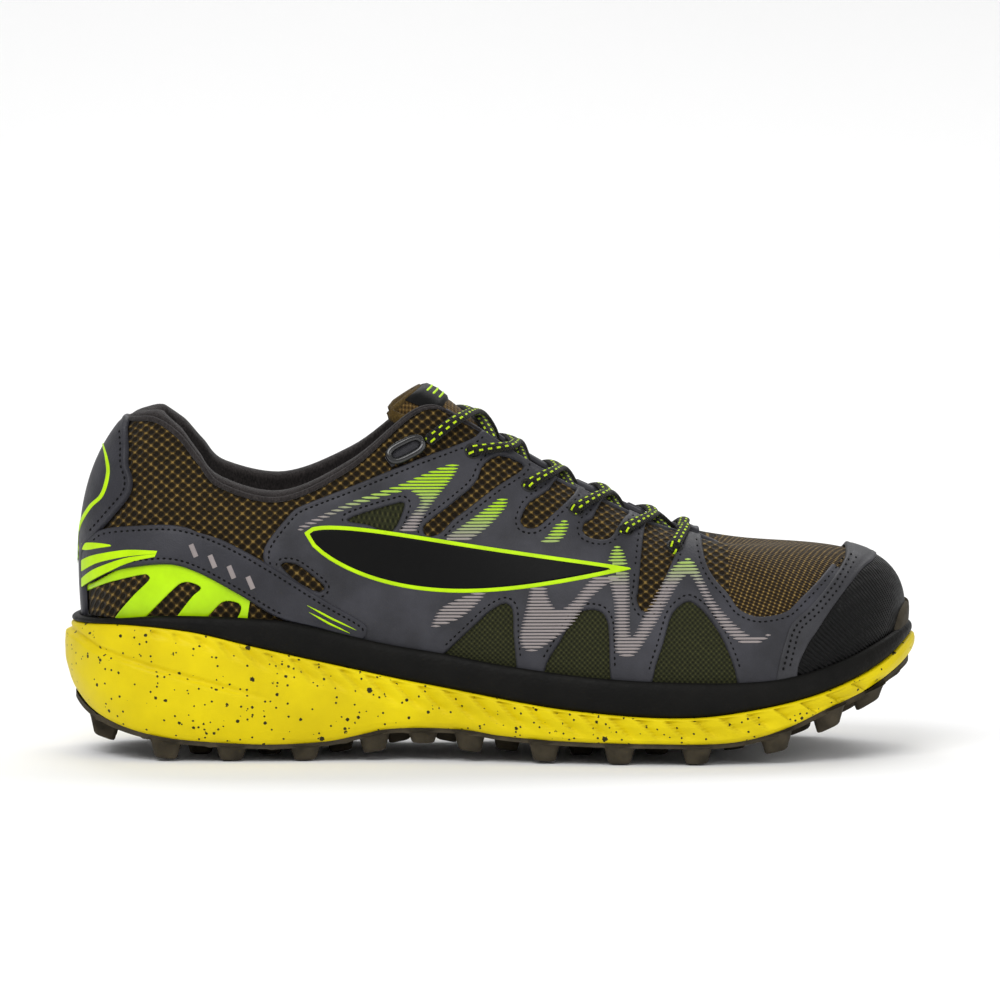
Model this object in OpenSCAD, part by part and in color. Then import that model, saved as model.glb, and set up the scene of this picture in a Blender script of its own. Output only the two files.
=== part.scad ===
// Low trail running shoe for the right foot, in millimetres.
// Every layer of the upper follows one lasted surface, and every layer of the sole one plan outline.
// +X points to the toe, +Y to the inner (medial) side, +Z up; the origin is under the middle.

/* [Sole] */
// Widest half width of the sole across the forefoot
forefoot_half = 53; // [50:0.5:54]
// Half width of the sole at the heel
heel_half = 41; // [39:0.5:42]
// Thickness of the outsole rubber between the lugs
rubber_t = 1.8; // [1.4:0.1:2.2]
// Length of a lug along the shoe at its root
lug_length = 10.6; // [8:0.2:11]
// Thickness of the sockliner
sockliner_t = 4.6; // [3:0.1:5]

/* [Upper] */
// Thickness of the upper mesh
mesh_t = 1.0; // [0.8:0.1:1]
// Thickness of the synthetic overlays
overlay_t = 0.9; // [0.6:0.1:0.9]
// Thickness of the collar foam
foam_t = 5.6; // [4:0.2:5.6]
// Half height of the collar binding roll
binding_r = 2.4; // [2:0.1:2.5]

/* [Closure] */
// Radius of the round lace tube
lace_r = 1.4; // [1:0.1:1.5]
// Rise of the tongue's middle above its edges, as a bow radius
tongue_bow = 25; // [24:1:30]

/* [Hidden] */

// Profiles along the shoe, as [x, value]
MID_HALF = [[-112, heel_half], [-80, 40.5], [-50, 37.5], [-20, 37], [10, 42], [40, 49],
            [70, forefoot_half + 0.5], [95, forefoot_half]];
BEND = [[-150, 0], [-110, -1], [-80, -1.5], [-50, -3], [-20, -5], [10, -6], [40, -4], [70, -1],
        [95, 2], [115, 4.5], [130, 5.5], [150, 6]];
RIDGE = [[-150, 0], [-60, 0], [0, 2], [80, 3], [150, 6]];
FEATHER = [[-150, 48.5], [-134, 49.6], [-115, 51.2], [-76, 49.6], [-57, 45.7], [-37, 41.1],
           [-17, 37.9], [3, 34.4], [32, 30.8], [58, 29.2], [97, 29.2], [123, 34.7], [150, 45.5]];
SIDE_TOP = [[-150, 46.3], [-130, 47.6], [-107, 45.7], [-84, 40.4], [-61, 35.1], [-33, 29],
            [-20, 26.6], [15, 20.5], [32, 18.4], [58, 16.6], [80, 17.4], [110, 22.7],
            [127, 28], [140, 34], [150, 41.5]];
BASE = [[-150, 23], [-143, 17], [-134, 12.8], [-122, 9.6], [-107, 7.4], [-84, 6], [-72, 6],
        [-57, 7], [-45, 9.5], [-37, 11.2], [-20, 11.7], [-7, 11], [2, 9.6], [23, 8.1], [58, 7.4],
        [84, 7.8], [101, 11.7], [118, 18.6], [131, 23.5], [144, 30.5], [150, 35]];
LUG_BOTTOM = [[-150, 10], [-143, 8], [-130, 3.5], [-114, 0.6], [-91, 0], [-65, 0], [-41, 3],
              [-24, 6], [-8, 3.5], [18, 0.6], [44, 0], [71, 0], [99, 3.8], [118, 11.2],
              [133, 19], [142, 25], [150, 30]];
FLOOR = [[-150, 41], [-110, 40], [-60, 36], [-20, 28.5], [20, 24], [60, 22], [100, 22.5],
         [125, 27.5], [150, 37]];

// The lasted surface runs up from the sole's edge at 21 stations, toe middle to heel middle.
// Each row: top edge x, half width, z; plan angle; swell and rise at the foot; reach and drop at the top
NET = [[80, 0, 71.8, 0, 6, 26, 60, -5.5],
       [79.7, 2.5, 72, 5, 6, 26, 58, -5.5],
       [79, 4.8, 72.4, 12, 6, 25.5, 54, -5],
       [77.5, 7, 73, 20, 6, 25, 47, -4],
       [75, 9, 74, 30, 6, 24, 39.5, -2.5],
       [71, 11, 75.8, 42, 6, 22, 33, 0],
       [65, 12.6, 78.2, 54, 6, 20, 26, 4],
       [56.5, 14, 81, 65, 6, 20, 22, 7],
       [42, 15.3, 88, 77, 5, 20, 18, 10],
       [25, 16.2, 96, 84, 5, 22, 15, 12],
       [8, 16.8, 106, 88, 4.5, 24, 13, 15],
       [-9, 18, 117.5, 90, 4, 27, 11, 20],
       [-25, 20.5, 122.5, 92, 3.5, 28, 9, 26],
       [-50, 26.8, 102.5, 93, 3, 26, 7, 18],
       [-74, 29, 91.5, 93, 3, 24, 6, 14],
       [-95, 26.5, 96, 100, 3, 24, 7, 16],
       [-103, 23, 104.5, 110, 3, 24, 9, 18],
       [-110, 18.8, 113, 124, 3, 24, 12, 19],
       [-118, 15, 118.3, 142, 3, 24, 14, 19],
       [-125, 8.6, 118.2, 161, 2.6, 24, 16, 19],
       [-128, 0, 117.5, 180, 2.2, 24, 17, 18.5]];
LAST = len(NET) - 1;
AROUND = 36;
UPWARD = 8;
upper_inset = 6.8;
toe_round = 1.12;
medial_lift = 2.5;

// Smooth curve through the points of a table
function seg(x, t, i = 0) = (i >= len(t) - 2 || x < t[i + 1][0]) ? i : seg(x, t, i + 1);
function rate(t, a, b) = (t[b][1] - t[a][1]) / (t[b][0] - t[a][0]);
function slope(t, i) = rate(t, max(i - 1, 0), min(i + 1, len(t) - 1));
function hermite(a, b, m, n, t) = a * (2 * t^3 - 3 * t^2 + 1) + m * (t^3 - 2 * t^2 + t)
    + b * (3 * t^2 - 2 * t^3) + n * (t^3 - t^2);
function curve(x0, t) = let (x = max(t[0][0], min(t[len(t) - 1][0], x0)), i = seg(x, t),
    w = t[i + 1][0] - t[i][0])
    hermite(t[i][1], t[i + 1][1], slope(t, i) * w, slope(t, i + 1) * w, (x - t[i][0]) / w);

// Plan outline of the sole drawn in by d: s runs 0 at the toe, 1 at the heel; gives [x, half width]
function outline(s, d) =
    s < 0.35 ? let (b = 90 * (1 - s / 0.35))
        [95 + (55 - d) * sin(b), (forefoot_half - d) * pow(max(cos(b), 0), toe_round)]
    : s < 0.75 ? let (x = 95 - 207 * (s - 0.35) / 0.4) [x, curve(x, MID_HALF) - d]
    : let (a = 90 * (s - 0.75) / 0.25) [-112 - (38 - d) * sin(a), (heel_half - d) * max(cos(a), 0)];

function shelf(x) = max(curve(x, SIDE_TOP) + 1.2, curve(x, FLOOR) - 1.7);
function inner_floor(x) = curve(x, BASE) + 0.45 * (curve(x, SIDE_TOP) - curve(x, BASE));

// Control points of the lasted surface at station j, mirrored past both ends
function foot(j) = let (p = outline(j / LAST, upper_inset)) [p[0], p[1], shelf(p[0]) + 0.6];
function control(j, k) = let (r = NET[j], f = foot(j), c = cos(r[3]), n = sin(r[3]))
    k == 0 ? f
    : k == 1 ? f + [c * r[4], n * r[4], r[5]]
    : k == 2 ? [r[0] + c * r[6], r[1] + n * r[6], r[2] - r[7]]
    : [r[0], r[1], r[2]];
CONTROL = [for (j = [0:LAST]) [for (k = [0:3]) control(j, k)]];
function flip(p) = [p[0], -p[1], p[2]];
function reach(j, k) = j < 0 ? flip(CONTROL[-j][k]) : j > LAST ? flip(CONTROL[2 * LAST - j][k]) : CONTROL[j][k];
function spline(a, b, c, d, t) = 0.5 * (2 * b + (c - a) * t + (2 * a - 5 * b + 4 * c - d) * t^2
    + (3 * b - a - 3 * c + d) * t^3);
function row(s, k) = let (f = min(s * LAST, LAST - 0.000001), j = floor(f))
    spline(reach(j - 1, k), reach(j, k), reach(j + 1, k), reach(j + 2, k), f - j);

// Point of the lasted surface: s toe to heel, v sole to top edge, side -1 lateral and 1 medial
function lasted(s, v, side) = let (w = 1 - v,
    p = w^3 * row(s, 0) + 3 * w^2 * v * row(s, 1) + 3 * w * v^2 * row(s, 2) + v^3 * row(s, 3),
    lift = side > 0 ? medial_lift * v^2 * exp(-((p[0] + 78) / 32)^2) : 0)
    [p[0], side * p[1] + curve(p[0], BEND) * w + curve(p[0], RIDGE) * v, p[2] + lift];
function unit(a) = a / norm(a);
function outward(s, v, side) = let (e = 0.004, s0 = max(s - e, 0), s1 = min(s + e, 1),
    v0 = max(v - e, 0), v1 = min(v + e, 1))
    side * unit(cross(lasted(s1, v, side) - lasted(s0, v, side), lasted(s, v1, side) - lasted(s, v0, side)));
function on_upper(s, v, side, o) = lasted(s, v, side) + outward(s, v, side) * o;

// Closed ring of stations: lateral from toe to heel, then medial back to the toe
RING = 2 * AROUND;
function ring_s(i) = i <= AROUND ? i / AROUND : (RING - i) / AROUND;
function ring_side(i) = i <= AROUND ? -1 : 1;
SKIN = [for (i = [0:RING - 1]) [for (k = [0:UPWARD]) lasted(ring_s(i), k / UPWARD, ring_side(i))]];
NORMAL = [for (i = [0:RING - 1]) [for (k = [0:UPWARD]) let (
    a = SKIN[(i + 1) % RING][k] - SKIN[(i + RING - 1) % RING][k],
    b = SKIN[i][min(k + 1, UPWARD)] - SKIN[i][max(k - 1, 0)]) unit(cross(b, a))]];

// One full layer of the upper between two distances from the lasted surface
module layer(inner, outer) {
    rows = UPWARD + 1;
    half = RING * rows;
    points = [for (o = [outer, inner]) for (i = [0:RING - 1]) for (k = [0:UPWARD])
        SKIN[i][k] + NORMAL[i][k] * o];
    faces = [for (i = [0:RING - 1]) let (a = i * rows, b = ((i + 1) % RING) * rows) each concat(
        [for (k = [0:UPWARD - 1]) each [[a + k, b + k, a + k + 1], [b + k, b + k + 1, a + k + 1],
            [half + a + k, half + a + k + 1, half + b + k],
            [half + b + k, half + a + k + 1, half + b + k + 1]]],
        [[a, half + a, b], [b, half + a, half + b],
         [a + UPWARD, b + UPWARD, half + a + UPWARD],
         [b + UPWARD, half + b + UPWARD, half + a + UPWARD]])];
    polyhedron(points, faces);
}

// Outline in side view with its corners rounded outwards by r
module patch(points, r = 0.8) {
    polygon(points);
    for (i = [0:len(points) - 1]) hull() {
        translate(points[i]) circle(r, $fn = 8);
        translate(points[(i + 1) % len(points)]) circle(r, $fn = 8);
    }
}
module across(low, high) translate([0, high, 0]) rotate([90, 0, 0]) linear_extrude(high - low) children();
module lateral(inner, outer) intersection() {
    layer(inner, outer);
    across(-70, -0.1) children();
}
module medial(inner, outer) intersection() {
    layer(inner, outer);
    across(0.1, 70) children();
}
module wrapped(inner, outer) intersection() {
    layer(inner, outer);
    across(-70, 70) children();
}

// Solid between closed plan rings, each given as [inset, heights]; the last and first are capped
SOLE = 26;
function sole_s(i) = i <= SOLE ? i / SOLE : (2 * SOLE - i) / SOLE;
function sole_point(i, d, z) = let (p = outline(sole_s(i), d), side = i <= SOLE ? -1 : 1)
    [p[0], side * p[1] + curve(p[0], BEND), z];
function sole_ring(d, heights) = [for (i = [0:2 * SOLE - 1]) let (x = outline(sole_s(i), d)[0])
    sole_point(i, d, heights(x))];
module stack(rings) {
    n = 2 * SOLE;
    top = (len(rings) - 1) * n;
    walls = [for (r = [0:len(rings) - 2]) for (i = [0:n - 1]) let (a = r * n + i, b = r * n + (i + 1) % n)
        each [[a, b, a + n], [b, b + n, a + n]]];
    lower = [for (i = [1:SOLE - 2]) let (a = i, b = i + 1, c = n - i, d = n - i - 1) each [[a, c, b], [b, c, d]]];
    ends = [[0, n - 1, 1], [SOLE, SOLE - 1, SOLE + 1]];
    cap = concat(lower, ends);
    lid = [for (f = cap) [top + f[0], top + f[2], top + f[1]]];
    polyhedron([for (r = rings) each r], concat(walls, cap, lid));
}

// Sole unit
module lug(x, y, width) {
    l = lug_length / 2;
    w = width / 2;
    d = 1.4;
    up = curve(x + l, BASE) - 1;
    down = curve(x - l, BASE) - 1;
    rise = (curve(x + 4, LUG_BOTTOM) - curve(x - 4, LUG_BOTTOM)) / 8 * (l - d);
    tilt = abs(rise) < 0.1 ? 0 : rise;
    low = max(curve(x, LUG_BOTTOM), abs(tilt));
    hull() polyhedron([[x - l, y - w, down], [x + l, y - w, up], [x + l, y + w, up], [x - l, y + w, down],
        [x - l + d, y - w + d, low - tilt], [x + l - d, y - w + d, low + tilt],
        [x + l - d, y + w - d, low + tilt], [x - l + d, y + w - d, low - tilt]],
        [[0, 1, 2, 3], [7, 6, 5, 4], [0, 4, 5, 1], [1, 5, 6, 2], [2, 6, 7, 3], [3, 7, 4, 0]]);
}
EDGE_LUGS = [-114.6, -91.6, -65.7, -41.3, -24.3, -8, 18.2, 44.4, 71.4, 99.3, 117.8, 132];
function half_at(x) = x > 95 ? forefoot_half * pow(1 - ((x - 95) / 55)^2, toe_round / 2)
    : x > -112 ? curve(x, MID_HALF) : heel_half * sqrt(1 - ((x + 112) / 38)^2);
module outsole() {
    base = function (x) curve(x, BASE) - rubber_t;
    roof = function (x) curve(x, BASE);
    color("#3d382d") union() {
        stack([sole_ring(2.6, base), sole_ring(2, roof)]);
        for (x = EDGE_LUGS) for (side = [-1, 1]) lug(x, side * (half_at(x) - 9.5) + curve(x, BEND), 12);
        for (i = [0:len(EDGE_LUGS) - 2]) {
            x = (EDGE_LUGS[i] + EDGE_LUGS[i + 1]) / 2;
            for (side = [-1, 1]) lug(x, side * min(12, half_at(x) / 2.6) + curve(x, BEND), 11);
        }
        for (y = [-14, 0, 14]) lug(-137, y, 10);
        lug(141, 6, 12);
    }
}
module midsole_carrier() {
    bottom = function (x) curve(x, BASE) + 0.05;
    low = function (x) curve(x, BASE) + 3;
    mid = function (x) curve(x, BASE) + 0.66 * (curve(x, SIDE_TOP) - curve(x, BASE));
    high = function (x) curve(x, SIDE_TOP) - 1.2;
    lip = function (x) curve(x, SIDE_TOP);
    pit = function (x) inner_floor(x);
    color("#e2cf05") stack([sole_ring(2, bottom), sole_ring(0.8, low), sole_ring(0, mid),
        sole_ring(0.9, high), sole_ring(1.8, lip), sole_ring(7.6, lip), sole_ring(8.6, pit)]);
}
module midsole_rim() {
    pit = function (x) inner_floor(x) + 0.2;
    lap = function (x) curve(x, SIDE_TOP) + 0.2;
    mid = function (x) (curve(x, SIDE_TOP) + curve(x, FEATHER)) / 2;
    lip = function (x) curve(x, FEATHER);
    seat = function (x) shelf(x);
    bed = function (x) min(curve(x, FLOOR) - 1.7, shelf(x) - 0.1);
    color("#141312") stack([sole_ring(8.9, pit), sole_ring(7.9, lap), sole_ring(2.2, lap), sole_ring(1.3, mid),
        sole_ring(1.7, lip), sole_ring(3.1, lip), sole_ring(3.4, seat), sole_ring(10.2, seat), sole_ring(10.4, bed)]);
}
module strobel_board() {
    low = function (x) curve(x, FLOOR) - 1.5;
    top = function (x) curve(x, FLOOR);
    color("#d8d2c4") stack([sole_ring(10.8, low), sole_ring(10.8, top)]);
}
module sockliner() {
    low = function (x) curve(x, FLOOR) + 0.4;
    rim = function (x) curve(x, FLOOR) + sockliner_t + 1;
    top = function (x) curve(x, FLOOR) + sockliner_t;
    color("#4a4a4c") stack([sole_ring(13, low), sole_ring(12.4, rim), sole_ring(14, rim), sole_ring(17, top)]);
}

// Upper: outlines in side view, [x, z]
quarter_front = 84;
COLLAR_REGION = [[-170, 78], [-130, 78], [-100, 76], [-70, 80],
                 [-52, 90], [-40, 104], [-37, 120], [-37, 170], [-170, 170]];
HEEL_REGION = [[-170, 20], [-60, 20], [-62, 48], [-70, 62], [-84, 70], [-100, 73], [-130, 75], [-170, 75]];
CAGE = [[-74, 80], [-66, 88.5], [-48, 96.6], [-27, 105], [-14, 110], [-6, 116], [-2, 125], [90, 125],
        [74, 79], [75, 68], [82, 58], [89, 51], [96, 50], [102, 54], [110, 48], [108, 15], [-50, 15], [-50, 50],
        [-62, 62]];
TRIANGLE_WINDOW = [[-50, 84.4], [-32.5, 89.5], [-36, 80.5], [-43, 83]];
SLOTS = [[[-21.5, 81], [-12, 89], [8, 103], [14, 112], [-4, 112], [-8.5, 95]],
         [[13, 84.5], [15, 91], [20, 96], [30, 108], [36, 104], [27, 92], [16, 83.5]],
         [[34.5, 79], [35, 84], [44, 98], [56, 92], [46, 84], [40.5, 79]],
         [[52, 56], [54, 78], [60, 92], [72, 84], [64, 73], [56, 56]]];
TOE_WINDOWS = [[[-18, 26], [4.4, 54], [8, 26]], [[18.6, 26], [24, 42], [29, 50], [36, 52], [40, 48], [40, 26]],
               [[56, 26], [62.5, 50], [68.5, 55], [75, 50], [80.5, 41], [85, 26]]];
DIAMOND_WINDOW = [[-74, 67.5], [-68.5, 68.2], [-59.5, 60], [-64, 60]];
WINDOW_MESH = [[-22, 25], [-22, 36], [2, 59], [10, 48], [26, 56], [44, 55], [52, 46], [62, 56], [74, 56], [90, 34],
               [90, 25]];
EYESTAY = [[-26, 100], [-12, 104], [8, 92], [24, 82], [44, 72], [62, 64], [80, 64], [84, 90], [30, 125], [-10, 130],
           [-26, 130]];
HEEL_STRAP = [[-138, 70], [-132, 78], [-110, 82], [-96, 78.5], [-79, 69.5], [-58, 56.5], [-47, 51],
              [-46, 44.2], [-60, 47.6], [-74, 50.6], [-77, 52.5], [-89, 61], [-103, 68], [-112, 69], [-126, 67], [-138, 60]];
HEEL_FILM = [[-139, 62], [-133, 66], [-122, 68.5], [-108, 68.5], [-94, 62.5], [-72, 50], [-72, 30], [-139, 30]];
FILM_SLOTS = [[[-150, 60], [-124, 66], [-120, 64], [-133, 48], [-133, 30], [-150, 30]],
              [[-120, 46], [-109, 62], [-103, 60], [-111, 46]], [[-98, 50], [-94, 55], [-88, 53], [-90, 50]]];
HEEL_TAB = [[-170, 120], [-128, 120], [-128, 98], [-125.5, 88], [-134, 80], [-141, 74], [-141, 30], [-170, 30]];
RAND = [[99.4, 30.6], [103, 45], [111, 53.6], [118, 61.6], [124.5, 71], [125.5, 90], [137, 90], [135.5, 70],
        [124, 59.5], [113, 45], [109.5, 39.5], [107, 32]];
GUARD = [[110, 15], [113, 40], [122, 53], [136, 67], [140, 90], [170, 90], [170, 46], [147, 45.8], [135, 40],
         [123, 35.2], [115, 32.8]];
EMBLEM = [[-62, 78], [-54, 80], [-30, 70], [10, 70], [44, 66], [10, 60], [-20, 54], [-44, 60]];

module vamp_mesh() color("#4d4128") wrapped(-mesh_t, 0)
    patch([[quarter_front + 1, 0], [quarter_front + 1, 170], [120, 170], [170, 170], [170, 90], [170, 40],
        [170, 0], [120, 0]]);
QUARTER = [[-170, 0], [-100, 0], [0, 0], [quarter_front - 2, 0], [quarter_front - 2, 170], [0, 170],
           [-100, 170], [-170, 170]];
module lateral_quarter_mesh() color("#5b4a2a") lateral(-mesh_t, 0) patch(QUARTER);
module medial_quarter_mesh() color("#5b4a2a") medial(-mesh_t, 0) patch(QUARTER);
module forefoot_lining() color("#2c2b29") wrapped(-2.8, -2.2)
    patch([[-56, 0], [-58, 50], [-66, 64], [-70, 74], [-38, 86], [-20, 98], [-10, 108], [-10, 170], [100, 170],
        [135, 170], [135, 0], [50, 0]]);
module heel_lining() color("#2f2e2d") wrapped(-4, -3.4) patch(HEEL_REGION, 0.5);
module collar_lining() color("#554f4f") wrapped(-2.2 - foam_t, -1.6 - foam_t) patch(COLLAR_REGION, 0.5);
module collar_foam() color("#b9b3a6") wrapped(-1.3 - foam_t, -1.3) patch(COLLAR_REGION, 0.5);
module heel_counter() color("#c9c3b4") wrapped(-3.1, -1.3) patch(HEEL_REGION, 0.5);
module toe_puff() color("#c4bda9") wrapped(-1.9, -1.3)
    patch([[118, 0], [118, 30], [118, 60], [118, 100], [134, 100], [140, 60], [142, 48], [142, 30], [134, 0]]);
module lateral_eyestay_backer() color("#242322") lateral(-1.9, -1.3) patch(EYESTAY);
module medial_eyestay_backer() color("#242322") medial(-1.9, -1.3) patch(EYESTAY);
module lateral_window_mesh() color("#2c2f1c") lateral(0.25, 0.65) patch(WINDOW_MESH);
module medial_window_mesh() color("#2c2f1c") medial(0.25, 0.65) patch(WINDOW_MESH);
module cage_outline() difference() {
    patch(CAGE);
    patch(TRIANGLE_WINDOW);
    for (w = SLOTS) patch(w);
    for (w = TOE_WINDOWS) patch(w);
    patch(DIAMOND_WINDOW);
}
module lateral_cage() color("#4b4b50") lateral(0.9, 0.9 + overlay_t) cage_outline();
module medial_cage() color("#4b4b50") medial(0.9, 0.9 + overlay_t) cage_outline();
module heel_tab() color("#4b4b50") wrapped(0.9, 0.9 + overlay_t) patch(HEEL_TAB);
module film_outline() difference() {
    patch(HEEL_FILM, 0.4);
    for (w = FILM_SLOTS) patch(w, 0.5);
}
module lateral_heel_film() color("#b5e61d") lateral(0.25, 0.65) film_outline();
module medial_heel_film() color("#b5e61d") medial(0.25, 0.65) film_outline();
module lateral_heel_strap() color("#4b4b50") lateral(2.1, 2.1 + overlay_t) patch(HEEL_STRAP);
module medial_heel_strap() color("#4b4b50") medial(2.1, 2.1 + overlay_t) patch(HEEL_STRAP);
module toe_rand() color("#4b4b50") wrapped(2.1, 2.1 + overlay_t) patch(RAND, 0.5);
module toe_guard() color("#161514") wrapped(0.3, 1.8) patch(GUARD, 0.5);
module toe_bumper() color("#3d382d") wrapped(2.1, 3.6)
    patch([[143, 58], [147, 59], [151, 59], [156, 58], [156, 49], [151, 48.4], [147, 48.4], [144.5, 49]], 0.5);
module lateral_emblem() color("#0c0c0c") lateral(2.1, 2.5) patch(EMBLEM, 1.6);
module medial_emblem() color("#0c0c0c") medial(2.1, 2.5) patch(EMBLEM, 1.6);

// Collar binding: an oval roll along the top edge, from one eyestay round the heel to the other
BINDING_END = 0.64;
module collar_binding() {
    n = 8;
    count = 36;
    half = count / 2;
    function at(i) = i <= half ? BINDING_END + (1 - BINDING_END) * i / half
        : 1 - (1 - BINDING_END) * (i - half) / half;
    function side(i) = i <= half ? -1 : 1;
    function middle(i) = let (n0 = outward(at(i), 0.985, side(i)), h = unit([n0[0], n0[1], 0]))
        lasted(at(i), 1, side(i)) - h * (foam_t / 2 + 0.9) + [0, 0, binding_r + 0.6];
    rings = [for (i = [0:count]) let (n0 = outward(at(i), 0.985, side(i)), h = unit([n0[0], n0[1], 0]),
        t = unit(middle(min(i + 1, count)) - middle(max(i - 1, 0))), u = unit(cross(h, t)) * (cross(h, t)[2] < 0 ? -1 : 1))
        for (k = [0:n - 1]) let (a = 360 * k / n)
        middle(i) - h * (foam_t / 2 + 1) * cos(a) + u * binding_r * sin(a)];
    tube(rings, n, count);
}
module tube(points, n, count) {
    walls = [for (i = [0:count - 1]) for (k = [0:n - 1]) let (a = i * n + k, b = i * n + (k + 1) % n)
        each [[a, b, a + n], [b, b + n, a + n]]];
    start = [for (k = [0:n / 2 - 2]) each [[k, n - 1 - k, k + 1], [k + 1, n - 1 - k, n - 2 - k]]];
    end = [for (f = start) [count * n + f[0], count * n + f[2], count * n + f[1]]];
    polyhedron(points, concat(walls, start, end));
}

// Tongue: rows are [x, z of the middle, half width, thickness]
TONGUE = [[90, 65, 9, 2.4], [80, 68.5, 12, 2.6], [66, 75.5, 14, 2.8], [48, 83.4, 15.5, 3], [30, 92.2, 16, 3.4],
          [12, 102.6, 16.5, 4], [-1, 112, 17, 5.5], [-9, 119.2, 17, 7.5], [-12.6, 122.1, 17, 8],
          [-14.6, 123.7, 17, 8], [-20, 127.8, 16.5, 7.5], [-26, 130.6, 15, 6]];
HINGE_ROW = 8;
function tongue_dir(i) = let (a = TONGUE[max(i - 1, 0)], b = TONGUE[min(i + 1, len(TONGUE) - 1)])
    unit([b[0] - a[0], 0, b[1] - a[1]]);
function tongue_up(i) = let (t = tongue_dir(i)) [t[2], 0, -t[0]];
function tongue_point(i, y, depth) = let (r = TONGUE[i])
    [r[0], y + curve(r[0], RIDGE), r[1]] - tongue_up(i) * (tongue_bow - sqrt(tongue_bow^2 - y^2) + depth);
module tongue_piece(first, last) {
    m = 6;
    n = 2 * (m + 1);
    rings = [for (i = [first:last]) for (k = [0:n - 1]) let (r = TONGUE[i],
        f = k <= m ? 1 - 2 * k / m : 2 * (k - m - 1) / m - 1)
        tongue_point(i, f * r[2], k <= m ? 0 : r[3] * (1 - 0.55 * f^4))];
    tube(rings, n, last - first);
}
module tongue_body() color("#54452a") tongue_piece(0, HINGE_ROW);
module tongue_tip() color("#6a5733") tongue_piece(HINGE_ROW + 1, len(TONGUE) - 1);
module tongue_label() {
    m = 6;
    rings = [for (i = [HINGE_ROW + 2, len(TONGUE) - 1]) for (k = [0:2 * m + 1]) let (
        f = k <= m ? 1 - 2 * k / m : 2 * (k - m - 1) / m - 1) tongue_point(i, f * 12, k <= m ? -0.9 : -0.2)];
    color("#0d0d0d") tube(rings, 2 * (m + 1), 1);
}
module lace_keeper() {
    m = 6;
    rows = [for (x = [24.5, 33]) let (z = lookup(-x, [for (r = TONGUE) [-r[0], r[1]]])) [x, z]];
    rings = [for (r = rows) for (k = [0:2 * m + 1]) let (
        f = k <= m ? 2 * k / m - 1 : 1 - 2 * (k - m - 1) / m, y = f * 9, rise = k <= m ? 1.2 : 0.4)
        [r[0], y + 2, r[1]] + [0.5, 0, 0.87] * (rise - tongue_bow + sqrt(tongue_bow^2 - y^2))];
    color("#5c5c60") tube(rings, 2 * (m + 1), 1);
}

// Eyelets, as places on the lasted surface [s, v], top first
EYELETS = [[0.59, 0.86], [0.545, 0.86], [0.49, 0.84], [0.445, 0.82], [0.4, 0.8], [0.355, 0.78]];
OVER_EDGE = [0.56, 0.51, 0.465, 0.415, 0.36, 0.29];
UNDER_EDGE = [0.6, 0.52, 0.487, 0.437, 0.386, 0.305];
CROWN = [-4.5, 9, 25, 42, 58, 67];
function eyelet(k, side, o) = on_upper(EYELETS[k][0], EYELETS[k][1], side, o);
function over(k, side) = on_upper(OVER_EDGE[k], 0.985, side, 3.2);
function under(k, side) = on_upper(UNDER_EDGE[k], 0.985, side, -2.8);
function crown(x, rise) = [x, 2, lookup(-x, [for (r = TONGUE) [-r[0], r[1]]]) + rise];
module hook(side) {
    s = EYELETS[0][0];
    a = on_upper(s + 0.008, 0.85, side, 4.4);
    b = on_upper(s + 0.028, 0.8, side, 4.6);
    hull() {
        translate(a) sphere(1.9, $fn = 12);
        translate(b) sphere(1.6, $fn = 12);
    }
}
module lateral_lace_hook() color("#1c1c1e") hook(-1);
module medial_lace_hook() color("#1c1c1e") hook(1);

// One lace from aglet to aglet, laced criss-cross through all eyelets
function strand(k, side) = let (h = side > 0 ? 2.4 : 5.6)
    [eyelet(k, side, -2.6), eyelet(k, side, 3.2), over(k, side), crown(CROWN[k], h), under(k + 1, -side)];
function climb(side) = [for (k = [0:4]) each strand(k, k % 2 == 0 ? side : -side)];
function tail(side) = [on_upper(0.63, 0.62, side, -11), on_upper(0.617, 0.74, side, -10),
    on_upper(0.603, 0.82, side, -6)];
function front(side) = [eyelet(5, side, -2.6), eyelet(5, side, 3.2), over(5, side)];
LEFT = concat(tail(-1), climb(-1), front(1), [crown(CROWN[5], 5)]);
RIGHT = concat(tail(1), climb(1), front(-1));
ROUTE = concat(LEFT, [for (i = [len(RIGHT) - 1:-1:0]) RIGHT[i]]);
function frame_at(i, up) = let (t = unit(ROUTE[min(i + 1, len(ROUTE) - 1)] - ROUTE[max(i - 1, 0)]),
    n = unit(up - t * (up * t))) [t, n, cross(t, n)];
function frames(i = 0, up = [0, 0, 1]) = i >= len(ROUTE) ? [] : let (f = frame_at(i, up)) concat([f], frames(i + 1, f[1]));
module lace() {
    n = 8;
    turn = frames();
    rings = [for (i = [0:len(ROUTE) - 1]) for (k = [0:n - 1]) let (a = -360 * k / n)
        ROUTE[i] + (turn[i][1] * cos(a) + turn[i][2] * sin(a)) * lace_r];
    color("#1b1b16") tube(rings, n, len(ROUTE) - 1);
}
module aglets() color("#3a3a3a") for (i = [0, len(ROUTE) - 1]) {
    inward = i == 0 ? 1 : -1;
    t = unit(ROUTE[i] - ROUTE[i + inward]);
    translate(ROUTE[i] + t * 0.05) rotate([0, acos(t[2]), atan2(t[1], t[0])]) cylinder(h = 18, r = 1.5, $fn = 24);
}

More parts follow.
